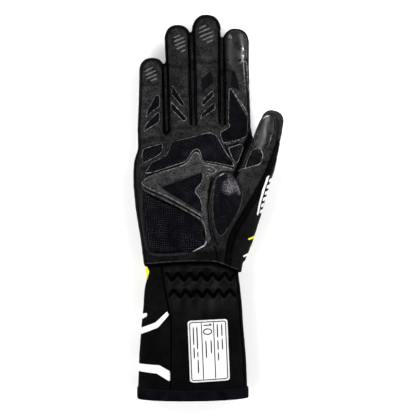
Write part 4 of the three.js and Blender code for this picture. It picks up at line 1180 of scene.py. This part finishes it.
def cuff_relief(points, normals):
    """Zigzag rows, the puffs between them, and flutes that fade below, on the front of the cuff."""
    x, y = points[:, 0], points[:, 1]
    front = np.clip(normals[:, 2] * 2.5 - 0.6, 0, 1)
    seam_x = np.interp(-y, -CUFF_SEAM[:, 1], CUFF_SEAM[:, 0])
    front *= np.clip((x - seam_x - 1) / 5, 0, 1) * np.clip((25.5 - x) / 5, 0, 1)
    sheet_y = SHEET_MIDDLE[1] - y / UNIT
    pitch = 11.45 * UNIT
    shift = np.interp(sheet_y, [270, 278, 291, 330], [0.0, 0.1, 0.55, 0.6])
    flute = np.cos(2 * math.pi * (x - spot(166.6, 0)[0]) / pitch + 2 * math.pi * shift)
    amount = np.interp(sheet_y, [268, 273, 277, 281, 286, 291, 296, 300, 308, 322],
            [0.1, 0.3, 0.1, -0.5, -0.45, 0.1, 0.1, -0.4, -0.12, 0])
    puff = np.interp(sheet_y, [266, 270, 276, 281, 286, 290, 295, 300, 308, 324],
            [0.2, 0.6, -0.2, 0.5, 0.9, 0.3, -0.2, 0.7, 0.5, 0])
    uneven = 0.75 + 0.4 * ripple(points, 14, 23)
    threads = ripple(points * (1, 0.25, 1), 3.2, 29) * np.interp(sheet_y, [268, 282, 300, 322],
            [0.05, 0.12, 0.16, 0])
    puffs = front * ((flute * amount + puff) * uneven + threads)
    pressed, lit = np.zeros(len(points)), np.zeros(len(points))
    for row in ROWS_OF_ELASTIC:
        near = np.abs(y - row[:, 1].mean()) < 8
        gap, side = path_distance(points[near][:, :2], soft(row, step=0.5, radius=0.15))
        pressed[near] -= (1.9 + 0.5 * ripple(points[near], 9, 37)) * front[near] * np.exp(-((gap / 1.0) ** 2))
        below = np.where(side < 0, 1.0, 0.35)
        lit[near] += 0.5 * below * front[near] * np.exp(-(((gap - 1.9) / 1.1) ** 2))
    waves = 0.25 * ripple(points, 42, 17) * np.clip((points[:, 2] - 3) / 8, 0, 1)
    # The fold value paints shade into the zigzag grooves and light onto the puffs, brightest just below each
    # row.
    return puffs + pressed + waves, puffs * 0.6 + lit + pressed * 1.2 + waves * 0.5

# %% The cuff in two panels
cuff_rows = 190
cuff_points, cuff_tris = loft([cuff_ring(d) for d in np.linspace(-CUFF_TUCK, CUFF_END, cuff_rows)],
        closed=False)
if (vertex_normals(cuff_points, cuff_tris)[:, 2] * (cuff_points[:, 2] - 16)).sum() < 0:
    cuff_tris = cuff_tris[:, ::-1]
cuff = formed(cuff_points, cuff_tris, cuff_relief, FLOOR_LIFT)

stations = np.linspace(-12, 120, 60)
right_seam = np.array([(PALM_X + cuff_half("right", down) - 2.2, WRIST_Y - down) for down in stations])
left_seam = soft(CUFF_SEAM, step=2, radius=4)
cuff_outline = np.vstack([left_seam, right_seam[::-1]])
SIDE_SEAM_HEIGHT = 15.3
front_field = np.minimum(depth_inside(cuff, cuff_outline), cuff[:, 2] - SIDE_SEAM_HEIGHT)
(front_skin, front_tris), (around_skin, around_tris) = split(cuff, cuff_tris, front_field)
for name, skin, tris, node_name in (("cuff_front_cloth", front_skin, front_tris, "cuff_front"),
                                    ("cuff_back_cloth", around_skin, around_tris, "cuff_back")):
    points = swollen(skin, tris, -0.45, 0, 1.4)
    TOP_SKINS.append((points[:, :3], tris))
    piece(name, points, tris, CUFF_CLOTH, node_name, "cuff_cloth", thickness=1.4)
    print(name, len(tris), "triangles")

# %% [markdown]
# ## The hem
# The open end of the cuff is bound with a twill tape that is folded over the edge. Its section is a flat
# hook: down the outside, round the edge and up the inside. Swept round the cuff, that section is the tape.

# %% The folded tape
HEM_HEIGHT, TAPE = 8.2, 1.0


def hem_tape():
    start = CUFF_END - HEM_HEIGHT
    section = [(start, 0.1), (start + 0.05, 0.75), (start + 0.5, TAPE), (start + 4, TAPE + 0.05),
            (CUFF_END - 1.5, TAPE),
               (CUFF_END + 0.4, 0.8), (CUFF_END + 1.15, 0.1), (CUFF_END + 1.3, -0.8),
                       (CUFF_END + 1.0, -1.9), (CUFF_END - 0.2, -2.6),
               (CUFF_END - 1.5, -2.75), (start + 1.0, -2.75), (start + 0.6, -2.3), (start + 0.7, -1.7),
                       (CUFF_END - 1.0, -1.65),
               (CUFF_END - 0.1, -1.3), (CUFF_END + 0.1, -0.7), (CUFF_END - 0.1, -0.1),
                       (CUFF_END - 1.0, 0.12), (start + 3, 0.1)]
    section = soft(np.array(section), closed=True, step=0.45, radius=0.25)
    rings = [cuff_ring(down, out, 220) for down, out in section]
    points, tris = loft(rings + [rings[0]], closed=False)
    size = len(rings[0])
    tris = np.where(tris >= len(rings) * size, tris - len(rings) * size, tris)
    return points[: len(rings) * size], tris


hem_points, hem_tris = hem_tape()
if (vertex_normals(hem_points, hem_tris)[:, 2] * (hem_points[:, 2] - 16)).sum() < 0:
    hem_tris = hem_tris[:, ::-1]
hem_points[:, 2] = np.maximum(hem_points[:, 2], 0.1)
TOP_SKINS.append((hem_points, hem_tris))
piece("hem_tape", hem_points, hem_tris, TWILL, "hem_band", "binding")
print("hem tape:", len(hem_tris), "triangles")

# %% [markdown]
# ## Printed stripes
# White stripes run round the little finger's side of the cuff, and thin bars cross the ball of the thumb.
# A print has no thickness to speak of, so each is a patch of skin lifted by a fifth of a millimetre. A stripe
# that crosses the side is drawn once for the front and once for the back, and both end at the same height.

# %% Stripes and bars
PRINT_LIFT, PRINT_WALL = 0.2, 0.25


def lifted(skin):
    return skin[:, :3] + skin[:, 3:6] * PRINT_LIFT


def printed(name, outlines, skin, faces, material, side):
    """Prints of one colour as one object. Each outline comes with the side of the glove that it lies on."""
    prints = []
    for facing, outline in outlines:
        cut_skin, cut_faces = patch(skin, faces, drawn(*outline), facing, radius=0.4, side=side, finer=False)
        prints.append((lifted(cut_skin), cut_faces))
    TOP_SKINS.append(joined(prints))
    print(name, len(prints), "outlines")
    return piece(name, *TOP_SKINS[-1], material, thickness=PRINT_WALL)


CUFF_STRIPES = [
    (1, [(130, 330.1), (141, 327.9), (155.7, 322.1), (167.6, 310.6), (169.2, 314.4), (158.4, 327),
        (141, 334.1), (130, 338)]),
    (1, [(130, 363.1), (159.7, 364.5), (170.3, 370.4), (170.3, 380.6), (157.1, 372.7), (138.8, 371),
        (130, 371)]),
    (1, [(147, 312.7), (147.4, 315.8), (141.9, 319.2), (132, 322), (132, 317), (141.9, 314)]),
    (-1, [(130, 330.1), (148, 326.5), (163, 317), (182, 296), (184.5, 299.5), (166, 321.5), (150, 331.5),
        (130, 338)]),
    (-1, [(130, 363.1), (159.7, 364.5), (187, 377), (187, 386), (157.1, 372.7), (138.8, 371), (130, 371)]),
    (-1, [(132, 317), (143, 313.5), (152, 306), (154, 309), (144, 318), (132, 322)]),
]
printed("white_cuff_stripes", CUFF_STRIPES, cuff, cuff_tris, WHITE_PRINT, SIDE_SEAM_HEIGHT)
WRIST_FLASH = [
    (1, [(134, 266), (147, 266), (149.4, 271.2), (147.4, 279.4), (134, 281)]),
    (-1, [(134, 267.1), (152, 267.1), (155, 271.2), (146.8, 279), (134, 281)]),
]
printed("lime_wrist_flash", WRIST_FLASH, cuff, cuff_tris, LIME_PRINT, SIDE_SEAM_HEIGHT)
BALL_SIDE_HEIGHT = 17.0
WRIST_BARS = [
    (1, [(242.5, 255.6), (250, 252), (250, 254.2), (243, 257.2)]),
    (-1, [(236, 262), (250, 252), (250, 254.2), (237.5, 264)]),
]
printed("white_wrist_bars", WRIST_BARS, hand_skin, hand_tris, WHITE_PRINT, BALL_SIDE_HEIGHT)
LIME_BARS = [
    (1, [(247.6, 238.4), (252.5, 236.5), (258.5, 233), (258.5, 235), (253, 238.3), (248, 240.1)]),
    (-1, [(240, 243), (252.5, 236.5), (258.5, 233), (258.5, 235), (253, 238.8), (241.5, 245)]),
]
printed("lime_thumb_bars", LIME_BARS, hand_skin, hand_tris, LIME_PRINT, BALL_SIDE_HEIGHT)

# %% [markdown]
# ## Bars on the side of the thumb
# A row of slanted blocks between thin lines stands on the thumb's side, where the skin is steep. Drawn in
# plan they would be torn, since a small step in plan is a long way down the side. So these are drawn as they
# are seen from that side, and cut out of the triangles that face it.

# %% Bars, drawn as they are seen from the side
# each point: y on the sheet, and millimetres above the thumb's side seam
SIDE_BARS = [[(y, 2.6), (y + 1.1, 7.0), (y + 4.6, 7.0), (y + 3.5, 2.6)] for y in np.arange(178, 213, 6.2)]
SIDE_BARS += [[(175, 8.3), (216, 8.1), (214, 9.5), (177, 9.7)],
        [(188, -2.2), (212, -2.6), (211, -4.0), (189, -3.6)]]
FACES_OUT, THUMB_FROM_X = 0.1, 34
ok = (hand_skin[:, 3] > FACES_OUT) & (hand_skin[:, 0] > THUMB_FROM_X)
side_tris = hand_tris[ok[hand_tris].all(1)]
bars = []
for outline in SIDE_BARS:
    outline = [((SHEET_MIDDLE[1] - y) * UNIT, up) for y, up in outline]
    outline = soft(outline, closed=True, step=0.5, radius=0.5)
    low, high = outline[:, 0].min() - 3, outline[:, 0].max() + 3
    near = (hand_skin[:, 1] > low) & (hand_skin[:, 1] < high)
    used, packed = np.unique(side_tris[near[side_tris].all(1)], return_inverse=True)
    seen = np.stack([hand_skin[used, 1], hand_skin[used, 2] - thumb_side_height(hand_skin[used, 1])], axis=1)
    cut_skin, cut_faces = split(hand_skin[used], packed.reshape(-1, 3), depth_inside(seen, outline))[0]
    bars.append((lifted(cut_skin), cut_faces))
piece("white_thumb_bars", *joined(bars), WHITE_PRINT, thickness=PRINT_WALL)
print("bars on the thumb's side:", len(bars))

# %% [markdown]
# ## The label
# A white woven label is sewn on the cuff along its edge. It is cut from the cuff's own skin, so it lies along
# every ripple. A thin frame, plain ruled columns and a plain size number are printed on it.

# %% Label and its ruling
LABEL_CORNERS = [(187.6, 320.2), (227.2, 318.4), (229.7, 379.2), (190.2, 381.6)]
LABEL_WIDE, LABEL_TALL = 32.1, 49.6


def label_spot(across, down):
    """A place on the label, from its top left corner (0, 0) to its bottom right (1, 1)."""
    a, b, c, d = (np.array(spot(*corner)) for corner in LABEL_CORNERS)
    top, bottom = a + (b - a) * across, d + (c - d) * across
    return top + (bottom - top) * down


def rounded_box(left, top, right, bottom, radius):
    """A box on the label in millimetres from its top left corner, with round corners."""
    loop = []
    for cx, cy, first in ((right - radius, top + radius, -90), (right - radius, bottom - radius, 0),
                          (left + radius, bottom - radius, 90), (left + radius, top + radius, 180)):
        for turn in np.radians(first + np.linspace(0, 90, 7)):
            across, down = cx + radius * math.cos(turn), cy + radius * math.sin(turn)
            loop.append(label_spot(across / LABEL_WIDE, down / LABEL_TALL))
    return np.array(loop)


skin, tris = patch(cuff, cuff_tris, rounded_box(0, 0, LABEL_WIDE, LABEL_TALL, 2.2), radius=0)
laid("label_cloth", skin, tris, LABEL_WHITE, "cuff_label", "label", low=0.3, high=0.62, width=0.8,
        thickness=0.5)
print("label:", LABEL_WIDE, "by", LABEL_TALL, "mm")

# %% [markdown]
# ## Lines that lie on the leather
# Raised rubber lines, welts and tapes are all the same kind of thing: a half-round strip that follows the
# surface under it. `bead` drops a drawn line onto the finished surfaces with rays from above and sweeps a
# half oval along it. Lines of one kind are joined in one object.

# %% Beads laid on the surfaces
SURFACE = BVHTree.FromPolygons(*(part.tolist() for part in joined(TOP_SKINS)))
print("laid surfaces:", len(TOP_SKINS))


def dropped(path, eased=True):
    """The drawn line on the surface, with the surface's direction. Points that miss are left out."""
    spots, ways = [], []
    for x, y in path:
        place, normal, _, _ = SURFACE.ray_cast(Vector((x, y, 90)), Vector((0, 0, -1)))
        if place is not None:
            spots.append(place)
            ways.append(normal if normal.z > 0 else -normal)
    spots, ways = np.array(spots), np.array(ways)
    if eased and len(spots) > 4:
        for data in (spots, ways):
            data[1:-1] = (data[:-2] + data[1:-1] * 2 + data[2:]) / 4
    return spots, ways / np.linalg.norm(ways, axis=1, keepdims=True)


def bead(path, width, height, sink=0.12, closed=False, even=False, section=7):
    """A half-round strip along a drawn line, as points and faces."""
    spots, ways = dropped(path, not even)
    if len(spots) < 3:
        return None
    ahead = np.roll(spots, -1, axis=0) - np.roll(spots, 1, axis=0) if closed else np.gradient(spots, axis=0)
    side = np.cross(ways, ahead)
    side /= np.maximum(np.linalg.norm(side, axis=1, keepdims=True), 1e-9)
    turn = np.linspace(0, math.pi, section)
    ends = np.ones(len(spots))
    if not closed:
        reach = np.minimum(np.arange(len(spots)), np.arange(len(spots))[::-1]) + 0.35
        ends = np.minimum(1, np.sqrt(reach / 2.2))
    rings = []
    if not even:
        ends = ends * (0.82 + 0.2 * ripple(spots, 6, 31))
    for place, way, across, full in zip(spots, ways, side, ends):
        flat = np.outer(np.cos(turn) * width / 2 * full, across)
        rings.append(place + flat + np.outer(np.sin(turn) * (height + sink) * full - sink, way))
    if closed:
        rings.append(rings[0])
    points, faces = loft(rings, closed=not closed)
    if closed:
        size, last = section, (len(rings) - 1) * section
        faces = np.where(faces >= last, faces - last, faces)
        points = points[:last]
    return points, faces

# %% Many strips as one object
def beads(name, paths, width, height, material, **options):
    """Many strips of one kind, as one object."""
    made = [bead(path, width, height, **options) for path in paths]
    made = [strip for strip in made if strip is not None]
    print(name, len(made), "strips")
    return piece(name, *joined(made), material)

# %% [markdown]
# ## Which lines there are
# Thin rubber lines frame the pads and windows, a pair of them follows each edge of the band across the palm,
# and near-black strips paint the shade in the grooves between them. Short bars stand on the fingertips for
# grip.
# Their widths differ by tenths of a millimetre, and that is what makes them look like different things.

# %% Rubber outlines and raised lines
RINGED = ("knuckle_pad", "side_pad", "index_pad", "web_pad", "thumb_mesh_pad")
outlines = [soft(drawn(*PADS[name]), closed=True, radius=0.9) for name in RINGED]
beads("pad_outlines", outlines, 0.75, 0.35, SILICONE, closed=True)
beads("thenar_outline", [soft(drawn(*THENAR), closed=True, step=0.9)], 1.5, 0.35, GREY_LINE, closed=True)
BAND_TOP = [(142, 183.5), (144.5, 179.5), (150, 176.8), (155, 175), (170, 170), (182, 166), (187, 163.7),
    (190.5, 159), (193.5, 153.8), (196.4, 151.9), (199, 153.6), (201.2, 160.5), (203.5, 163), (215, 165.3),
    (225, 167.2), (234, 169.5)]
BAND_LINES = [
    BAND_TOP,
    [(142, 183.5), (145, 186.6), (150, 189), (165, 195), (180, 203.2), (195, 211.8), (202, 216.4)],
    [(145, 190.5), (150, 193), (165, 200), (180, 207.2), (195, 215.6), (202, 220), (205.2, 226),
        (206.4, 238), (204.5, 245), (193, 251)],
    [(202.8, 174), (203.4, 177), (201.3, 183.3), (195.9, 188.7), (194.9, 192.9), (199.7, 197.2),
        (201.8, 204.7), (202.3, 212)],
    [(226, 144.4), (240, 140)],
    [(228, 148.7), (239, 144.4)],
    [(232.5, 90.5), (246, 109.5), (249, 118)],
    [(203.5, 165.5), (212, 167), (217, 169.8), (216.5, 172), (210, 175), (205, 177)],
    [(206.5, 169.3), (211, 170), (213.3, 171.4), (208.5, 173.6)],
]
beads("raised_lines", [soft(drawn(*path)) for path in BAND_LINES], 0.75, 0.38, SILICONE)

# %% Painted shade in the grooves
# Near-black strips that paint the shadows along the band's edges, in the palm's creases and at the web.
SHADED_GROOVE_LINES = [
    [(145, 177.5), (149, 175.4), (155, 173.4), (170, 168.4), (182, 164.6), (186.4, 161.5), (190, 155.5),
        (193.2, 151.7), (196.4, 150.4), (199.8, 151.9), (202.2, 160.4), (204.5, 161.8), (215, 163.8),
        (225, 165.6), (236, 169)],
    [(143.2, 186.5), (150, 191), (165, 197.6), (180, 205.3), (195, 213.8), (202, 218.2)],
    [(146, 193.2), (150, 195.4), (165, 202.6), (180, 209.6), (195, 217.8), (201.5, 222.4), (203.6, 229),
        (204.6, 238)],
    [(211, 181), (208.4, 192), (207.7, 205), (208.7, 214), (211, 225), (214, 236), (218, 246)],
    [(224.5, 143), (232, 164)],
    [(229, 146.6), (239.5, 142.2)],
]
beads("groove_shade_lines", [soft(drawn(*path)) for path in SHADED_GROOVE_LINES], 1.45, 0.22, GROOVE_SHADE)
FAINT_LINES = [
    [(235, 179), (230.8, 174.8), (223.4, 172.7), (217, 176), (214.4, 181), (208.6, 204.7), (210, 222),
        (215, 246)],
]
beads("faint_lines", [soft(drawn(*path)) for path in FAINT_LINES], 0.75, 0.35, GREY_LINE)

# %% Window outlines and grip bars
OUTLINED = WINDOWS[:4] + WINDOWS[5:7]
beads("window_outlines", [soft(drawn(*path), closed=True, radius=0.4) for path in OUTLINED], 0.65, 0.28,
        WINDOW_LINE, closed=True)
GRIP_BARS = [
    [(144.6, 71.6), (152.8, 67.3)],
    [(145, 75.4), (156, 70.4)],
    [(146.6, 78.7), (157, 74.2)],
    [(150.2, 80.9), (157, 78.2)],
    [(173.6, 38.4), (179.8, 35.4)],
    [(173.4, 42.3), (184, 37.8)],
    [(174.6, 46), (185.5, 41.2)],
    [(176.6, 49.4), (186, 45)],
    [(180.4, 52.2), (185.6, 49.8)],
    [(199, 29.4), (206, 26)],
    [(198.6, 33.6), (210, 28.8)],
    [(199.6, 37.6), (212.6, 32.4)],
    [(202.2, 40.8), (213.4, 36.2)],
    [(207, 43.2), (213, 40.4)],
]
INDEX_STRIP = [(245.6, 92.5), (244.3, 75), (243.3, 62.2), (244.8, 60.6), (246.7, 62), (247.6, 75),
        (248.6, 93)]
THUMB_LINE = [(238, 171.6), (241.5, 169.2), (246, 168.6), (252, 166.6), (258, 165.2), (261, 162.9)]
beads("strip_outline", [soft(drawn(*path), radius=0.5) for path in (INDEX_STRIP, THUMB_LINE)], 0.75, 0.35,
        SILICONE)

# %% Bright ends and the heel's border
# The second dash is a pale bead on the top edge of the thumb's shiny patch, a painted highlight.
DASHES = [[(219, 176.6), (222.6, 174.4), (225.4, 172.9)],
          [(262.6, 119.8), (264.6, 117.6), (268.4, 116.8)]]
beads("bright_dashes", [soft(drawn(*path), step=0.6, radius=0.5) for path in DASHES], 0.9, 0.5, PALE_LINE)
beads("bar_end", [soft(drawn((192.8, 251.2), (200, 247.6), (204.6, 245.2), (206.6, 241)), radius=0.6)],
        1.3, 0.55, PALE_LINE)
HEEL_BORDER = [(142.2, 191), (141.8, 205), (142.6, 225), (146.2, 246), (149, 252.6), (155.5, 254.8),
        (170, 254.6), (188, 253)]
beads("heel_border", [soft(drawn(*HEEL_BORDER), radius=2.5)], 2.6, 0.4, BORDER_TAPE, section=9)
beads("grip_bars", [soft(drawn(*path), step=0.7) for path in GRIP_BARS], 1.35, 0.45, GRIP_BAR)

# %% [markdown]
# ## Seams between the fingers
# Between two fingers the strips on their sides meet in a soft raised fold, which is seen from the palm as a
# thin line between two dark grooves. It is a bead too, but it runs through the air of the gap, so its path
# comes from the fingers' own sizes and not from a ray.

# %% The folds between the fingers
def swept(path, width, height, section=10):
    """A closed oval tube along a path in space."""
    ahead = np.gradient(path, axis=0)
    side = np.cross(ahead, Z_AXIS)
    side /= np.linalg.norm(side, axis=1, keepdims=True)
    turn = np.linspace(0, 2 * math.pi, section, endpoint=False)
    reach = np.minimum(1, np.sqrt((np.minimum(np.arange(len(path)), np.arange(len(path))[::-1]) + 0.3) / 3))
    rings = []
    for place, across, full in zip(path, side, reach):
        flat = np.outer(np.cos(turn) * width / 2 * full, across)
        rings.append(place + flat + np.outer(np.sin(turn) * height / 2 * full, Z_AXIS))
    return loft(rings)


for near, far in zip(names[:-1], names[1:]):
    shorter = min((near, far), key=lambda k: FINGERS[k][0])
    length, _, tip, *_ = FINGERS[shorter]
    y = np.arange(ROOT_Y - 2.5, ROOT_Y + length - tip * 0.34, 0.8)
    x = (finger_middle(near, y) + finger_half(near, y) + finger_middle(far, y) - finger_half(far, y)) / 2
    z = side_height(y) + 6.0 + 0.3 * np.sin(y * 0.9)
    points, tris = swept(np.stack([x, y, z - 0.6], axis=1), 1.9, 2.6)
    piece(f"fold_{near}_{far}", points, tris, FOLD_KNIT, slot="stretch")

# %% [markdown]
# ## The wrist seam
# Hand and cuff meet in a piped seam. A cord-like bead stands on the hand's side, a near-black strip paints
# the shadow in the groove under it, and the cuff's edge shows as a soft lip in the middle, lighter for a
# painted highlight.

# %% Piping, painted shadow and lit lip at the wrist
wrist_path = soft(WRIST_LINE, step=0.8, radius=3) + np.array([0, 1.0])
inside_hand = (wrist_path[:, 0] > spot(145.5, 0)[0]) & (wrist_path[:, 0] < spot(238.5, 0)[0])
beads("wrist_piping", [wrist_path[inside_hand] + np.array([0, 1.5])], 1.2, 0.6, PIPING)
# a lighter knit bead on the cuff's edge: a real lip with a painted dim highlight
lit_cuff_lip = soft(drawn((190, 267.2), (197, 266.4), (210, 266.8), (219, 268.6)), radius=2)
beads("lit_cuff_lip", [lit_cuff_lip], 2.4, 0.5, FOLD_KNIT)
# a near-black strip that paints the shadow in the groove under the piping
beads("wrist_crease_shadow", [wrist_path[inside_hand] + np.array([0, -0.4])], 3.0, 0.6, GROOVE_SHADE)

# %% [markdown]
# ## Stitches
# A seam is only believed when its thread shows. Each stitch is a short bead, and all those of one seam line
# are joined in one object. They stand in a row just inside the edge of the leather, at 8 to the inch.

# %% Rows of stitches
STEPS = 6  # points of the path from one stitch to the next


def stitches(name, paths, material, pitch=3.0, length=1.9, width=0.5, height=0.28):
    """Rows of short beads: each stitch takes up its length of every pitch."""
    short = []
    for path in paths:
        spaced = evenly(path, pitch / STEPS, False)
        taken = max(int(round(length / (pitch / STEPS))), 2)
        short += [spaced[start : start + taken + 1] for start in range(0, len(spaced) - taken, STEPS)]
    return beads(name, short, width, height, material, section=5)

# %% Stitches of the palm and thumb
def finger_edge(name, way, inset):
    length, _, tip, *_ = FINGERS[name]
    y = np.arange(ROOT_Y - 2, ROOT_Y + length - tip * 0.5, 1.0)
    return np.stack([finger_middle(name, y) + way * (finger_half(name, y) - inset), y], axis=1)


edge_rows = [finger_edge(name, way, SEAM_INSET + 0.95) for name in FINGERS for way in (-1, 1)]
left_edge = palm_block(SEAM_INSET + 1.0)
left_edge = soft(left_edge[(left_edge[:, 0] < -35) & (left_edge[:, 1] > WRIST_Y)], step=1, radius=2)
seam_row = soft(THUMB_SEAM[3:], step=1, radius=3)
run = np.gradient(seam_row, axis=0)
out = np.stack([-run[:, 1], run[:, 0]], axis=1) / np.linalg.norm(run, axis=1, keepdims=True)
stitches("palm_stitches", edge_rows + [left_edge], THREAD)
thumb_rows = [seam_row + out * 1.2, THUMB_SIDE + np.array([-1.2, 0.3])]
thumb_rows = [row[row[:, 1] > spot(0, 260)[1]] for row in thumb_rows]
stitches("thumb_stitches", thumb_rows, THREAD)

# %% Stitches and seams of the cuff
ROW_END = -145
sewn = left_seam[(left_seam[:, 1] < WRIST_Y - 4) & (left_seam[:, 1] > ROW_END)]
cuff_rows_of_thread = [sewn + np.array([way, 0]) for way in (-1.3, 1.3)]
right_row = right_seam[(right_seam[:, 1] < WRIST_Y - 9) & (right_seam[:, 1] > ROW_END)] + np.array([-1.3, 0])
stitches("cuff_stitches", cuff_rows_of_thread + [right_row], CUFF_THREAD)
HEM_TOP = WRIST_Y - CUFF_END + HEM_HEIGHT
hem_x = np.arange(-52, 31, 1.0)
hem_row = np.stack([hem_x, HEM_TOP - 0.9 - 1.4 * (1 - ((hem_x - PALM_X) / 43) ** 2)], axis=1)
stitches("hem_stitches", [hem_row], CUFF_THREAD, pitch=3.2)
# near-black strips that paint the shade in the seam grooves of the hem and the cuff
beads("hem_seam_shade", [evenly(drawn((170.3, 391.8), (170.4, 400.2)), 0.8, False)], 0.9, 0.15, GROOVE_SHADE)
seam_lines = [line[(line[:, 1] < WRIST_Y - 9) & (line[:, 1] > HEM_TOP)] for line in (left_seam, right_seam)]
beads("cuff_seam_shade", seam_lines, 1.3, 0.15, GROOVE_SHADE)

# %% Stitches of the label
STITCHED_IN = 0.75
label_row = rounded_box(STITCHED_IN, STITCHED_IN, LABEL_WIDE - STITCHED_IN, LABEL_TALL - STITCHED_IN, 1.6)
stitches("label_stitches", [np.vstack([label_row, label_row[:1]])], LABEL_THREAD, pitch=2.0, length=1.3,
        width=0.35, height=0.15)

# %% [markdown]
# ## The label's print
# A frame, two dividing rules, short bars in columns and a size number are inked on the label. They are beads
# of even width, 0.3 mm high and drawn in millimetres of the label, so they keep to its slant.

# %% Frame and ruled columns
FRAME_IN = 1.6
frame_line = rounded_box(FRAME_IN, FRAME_IN, LABEL_WIDE - FRAME_IN, LABEL_TALL - FRAME_IN, 1.4)
beads("label_frame", [evenly(frame_line, 0.8, True)], 0.85, 0.3, LABEL_INK, closed=True, even=True, section=5)


def ruled(across, start, end):
    return evenly(np.array([label_spot(across, start), label_spot(across, end)]), 0.8, False)


rules = [ruled(across, 0.035, 0.965) for across in (0.345, 0.648)]
COLUMNS = {
    0.135: [(0.1, 0.4), (0.43, 0.62)],
    0.225: [(0.1, 0.47), (0.5, 0.6), (0.63, 0.86)],
    0.44: [(0.33, 0.62)],
    0.57: [(0.33, 0.55)],
    0.74: [(0.07, 0.3), (0.33, 0.5), (0.53, 0.67)],
    0.85: [(0.07, 0.28), (0.31, 0.5)],
}
beads("label_dividers", rules, 0.8, 0.3, LABEL_INK, even=True, section=5)
bars = [ruled(across, *span) for across, spans in COLUMNS.items() for span in spans]
beads("label_rules", bars, 1.05, 0.3, LABEL_INK, even=True, section=5)

# %% The size number
def label_stroke(*places):
    """A pen stroke on the label, in millimetres: along it from the top edge, and across it from the left."""
    return np.array([label_spot(across / LABEL_WIDE, along / LABEL_TALL) for along, across in places])


turn = np.linspace(0, 2 * math.pi, 25)[:-1]
one = label_stroke((2.9, 17.3), (4.3, 19.2), (4.3, 12.4))
nought = label_stroke(*((9.4 + 2.2 * math.cos(t), 15.8 + 3.3 * math.sin(t)) for t in turn))
beads("size_number_one", [evenly(one, 0.4, False)], 1.0, 0.3, LABEL_INK, even=True, section=5)
beads("size_number_nought", [nought], 1.0, 0.3, LABEL_INK, closed=True, even=True, section=5)

# %% [markdown]
# ## Floor, light and camera
# The glove is looked at from straight above with a long lens, so its outline is true to its sizes. The floor
# is a bright plain sheet. Four broad soft lights stand all round. Three small lamps with a narrow cone stand
# where the shiny tips mirror them to the camera, and draw the streaks that show which leather is shiny.

# %% The floor
def stage_floor():
    size, level = 3000, -0.2
    corners = [(-size, -size, level), (size, -size, level), (size, size, level), (-size, size, level)]
    floor = bpy.data.objects.new("floor", as_mesh("floor", corners, [(0, 1, 2, 3)]))
    bpy.context.scene.collection.objects.link(floor)
    floor.data.materials.append(finish("floor_paper", (0.93, 0.93, 0.93), 0.9)[0])

# %% Soft lights and the sky
def lamp(name, place, target, width, height, power):
    light = bpy.data.lights.new(name, "AREA")
    light.shape, light.size, light.size_y, light.energy = "RECTANGLE", width, height, power
    obj = bpy.data.objects.new(name, light)
    bpy.context.scene.collection.objects.link(obj)
    obj.location = Vector(place)
    obj.rotation_euler = (Vector(target) - obj.location).to_track_quat("-Z", "Y").to_euler()
    return obj


def studio_world(low, high):
    """A bright horizon under a dim ceiling: level surfaces stay dark and slopes catch the light."""
    world = bpy.data.worlds.new("studio")
    bpy.context.scene.world = world
    world.use_nodes = True
    tree = world.node_tree
    here = tree.nodes.new("ShaderNodeTexCoord")
    parts = tree.nodes.new("ShaderNodeSeparateXYZ")
    fade = tree.nodes.new("ShaderNodeMapRange")
    for key, value in (("From Min", 0.15), ("From Max", 0.75), ("To Min", low), ("To Max", high)):
        fade.inputs[key].default_value = value
    tree.links.new(here.outputs["Generated"], parts.inputs[0])
    tree.links.new(parts.outputs[2], fade.inputs["Value"])
    tree.links.new(fade.outputs["Result"], tree.nodes["Background"].inputs["Strength"])
    tree.nodes["Background"].inputs["Color"].default_value = (1, 1, 1, 1)


stage_floor()
HORIZON, CEILING = 0.75, 0.3
studio_world(HORIZON, CEILING)
SOFTBOX_HEIGHT, SOFTBOX_SIZE, SOFTBOX_POWER = 1.3, 0.8, 22
CORNERS = {"left_back": (-1.2, 0.9), "right_back": (1.2, 0.9), "left_front": (-1.2, -0.9),
        "right_front": (1.2, -0.9)}
for corner, (x, y) in CORNERS.items():
    lamp(f"softbox_{corner}", (x, y, SOFTBOX_HEIGHT), (0, 0, 0), SOFTBOX_SIZE, SOFTBOX_SIZE, SOFTBOX_POWER)

# %% Small lamps that the shiny tips mirror
SNOOT_AWAY, SNOOT_SIZE, SNOOT_SPREAD = 1.25, 0.12, math.radians(6)


def snoot(name, x, y, power):
    """A small lamp with a narrow cone, set where the leather at one place mirrors it to the camera."""
    ways, places = [], []
    for dx, dy in ((0, 0), (1.5, 0), (-1.5, 0), (0, 1.5), (0, -1.5)):
        place, way, _, _ = SURFACE.ray_cast(Vector((*spot(x + dx, y + dy), 90)), Vector((0, 0, -1)))
        places.append(place)
        ways.append(way if way.z > 0 else -way)
    way = sum(ways, Vector()).normalized()
    mirrored = 2 * way.z * way - Vector((0, 0, 1))
    target = places[0] * MM
    obj = lamp(name, target + mirrored * SNOOT_AWAY, target, SNOOT_SIZE, SNOOT_SIZE, power)
    obj.data.spread = SNOOT_SPREAD
    print(name, "stands at", [round(v, 2) for v in obj.location])


snoot("snoot_index_right", 242.8, 47, 0.045)
snoot("snoot_index_left", 229.5, 58, 0.003)
snoot("snoot_thumb", 264.2, 135, 0.05)
bpy.context.scene.view_settings.view_transform = "Standard"

# %% The camera
camera = bpy.data.objects.new("camera", bpy.data.cameras.new("camera"))
bpy.context.scene.collection.objects.link(camera)
LENS, SENSOR = 150.0, 36.0
SHEET_WIDTH = 416
FRAME_WIDTH = SHEET_WIDTH * UNIT
MIDDLE_HEIGHT = 22.0
camera.data.lens, camera.data.sensor_width = LENS, SENSOR
distance = FRAME_WIDTH * LENS / SENSOR + MIDDLE_HEIGHT
camera.location = Vector((*(c * MM for c in spot(SHEET_WIDTH / 2, SHEET_WIDTH / 2)), distance * MM))
camera.data.clip_end = 20
bpy.context.scene.camera = camera
print("camera height in mm:", round(distance))
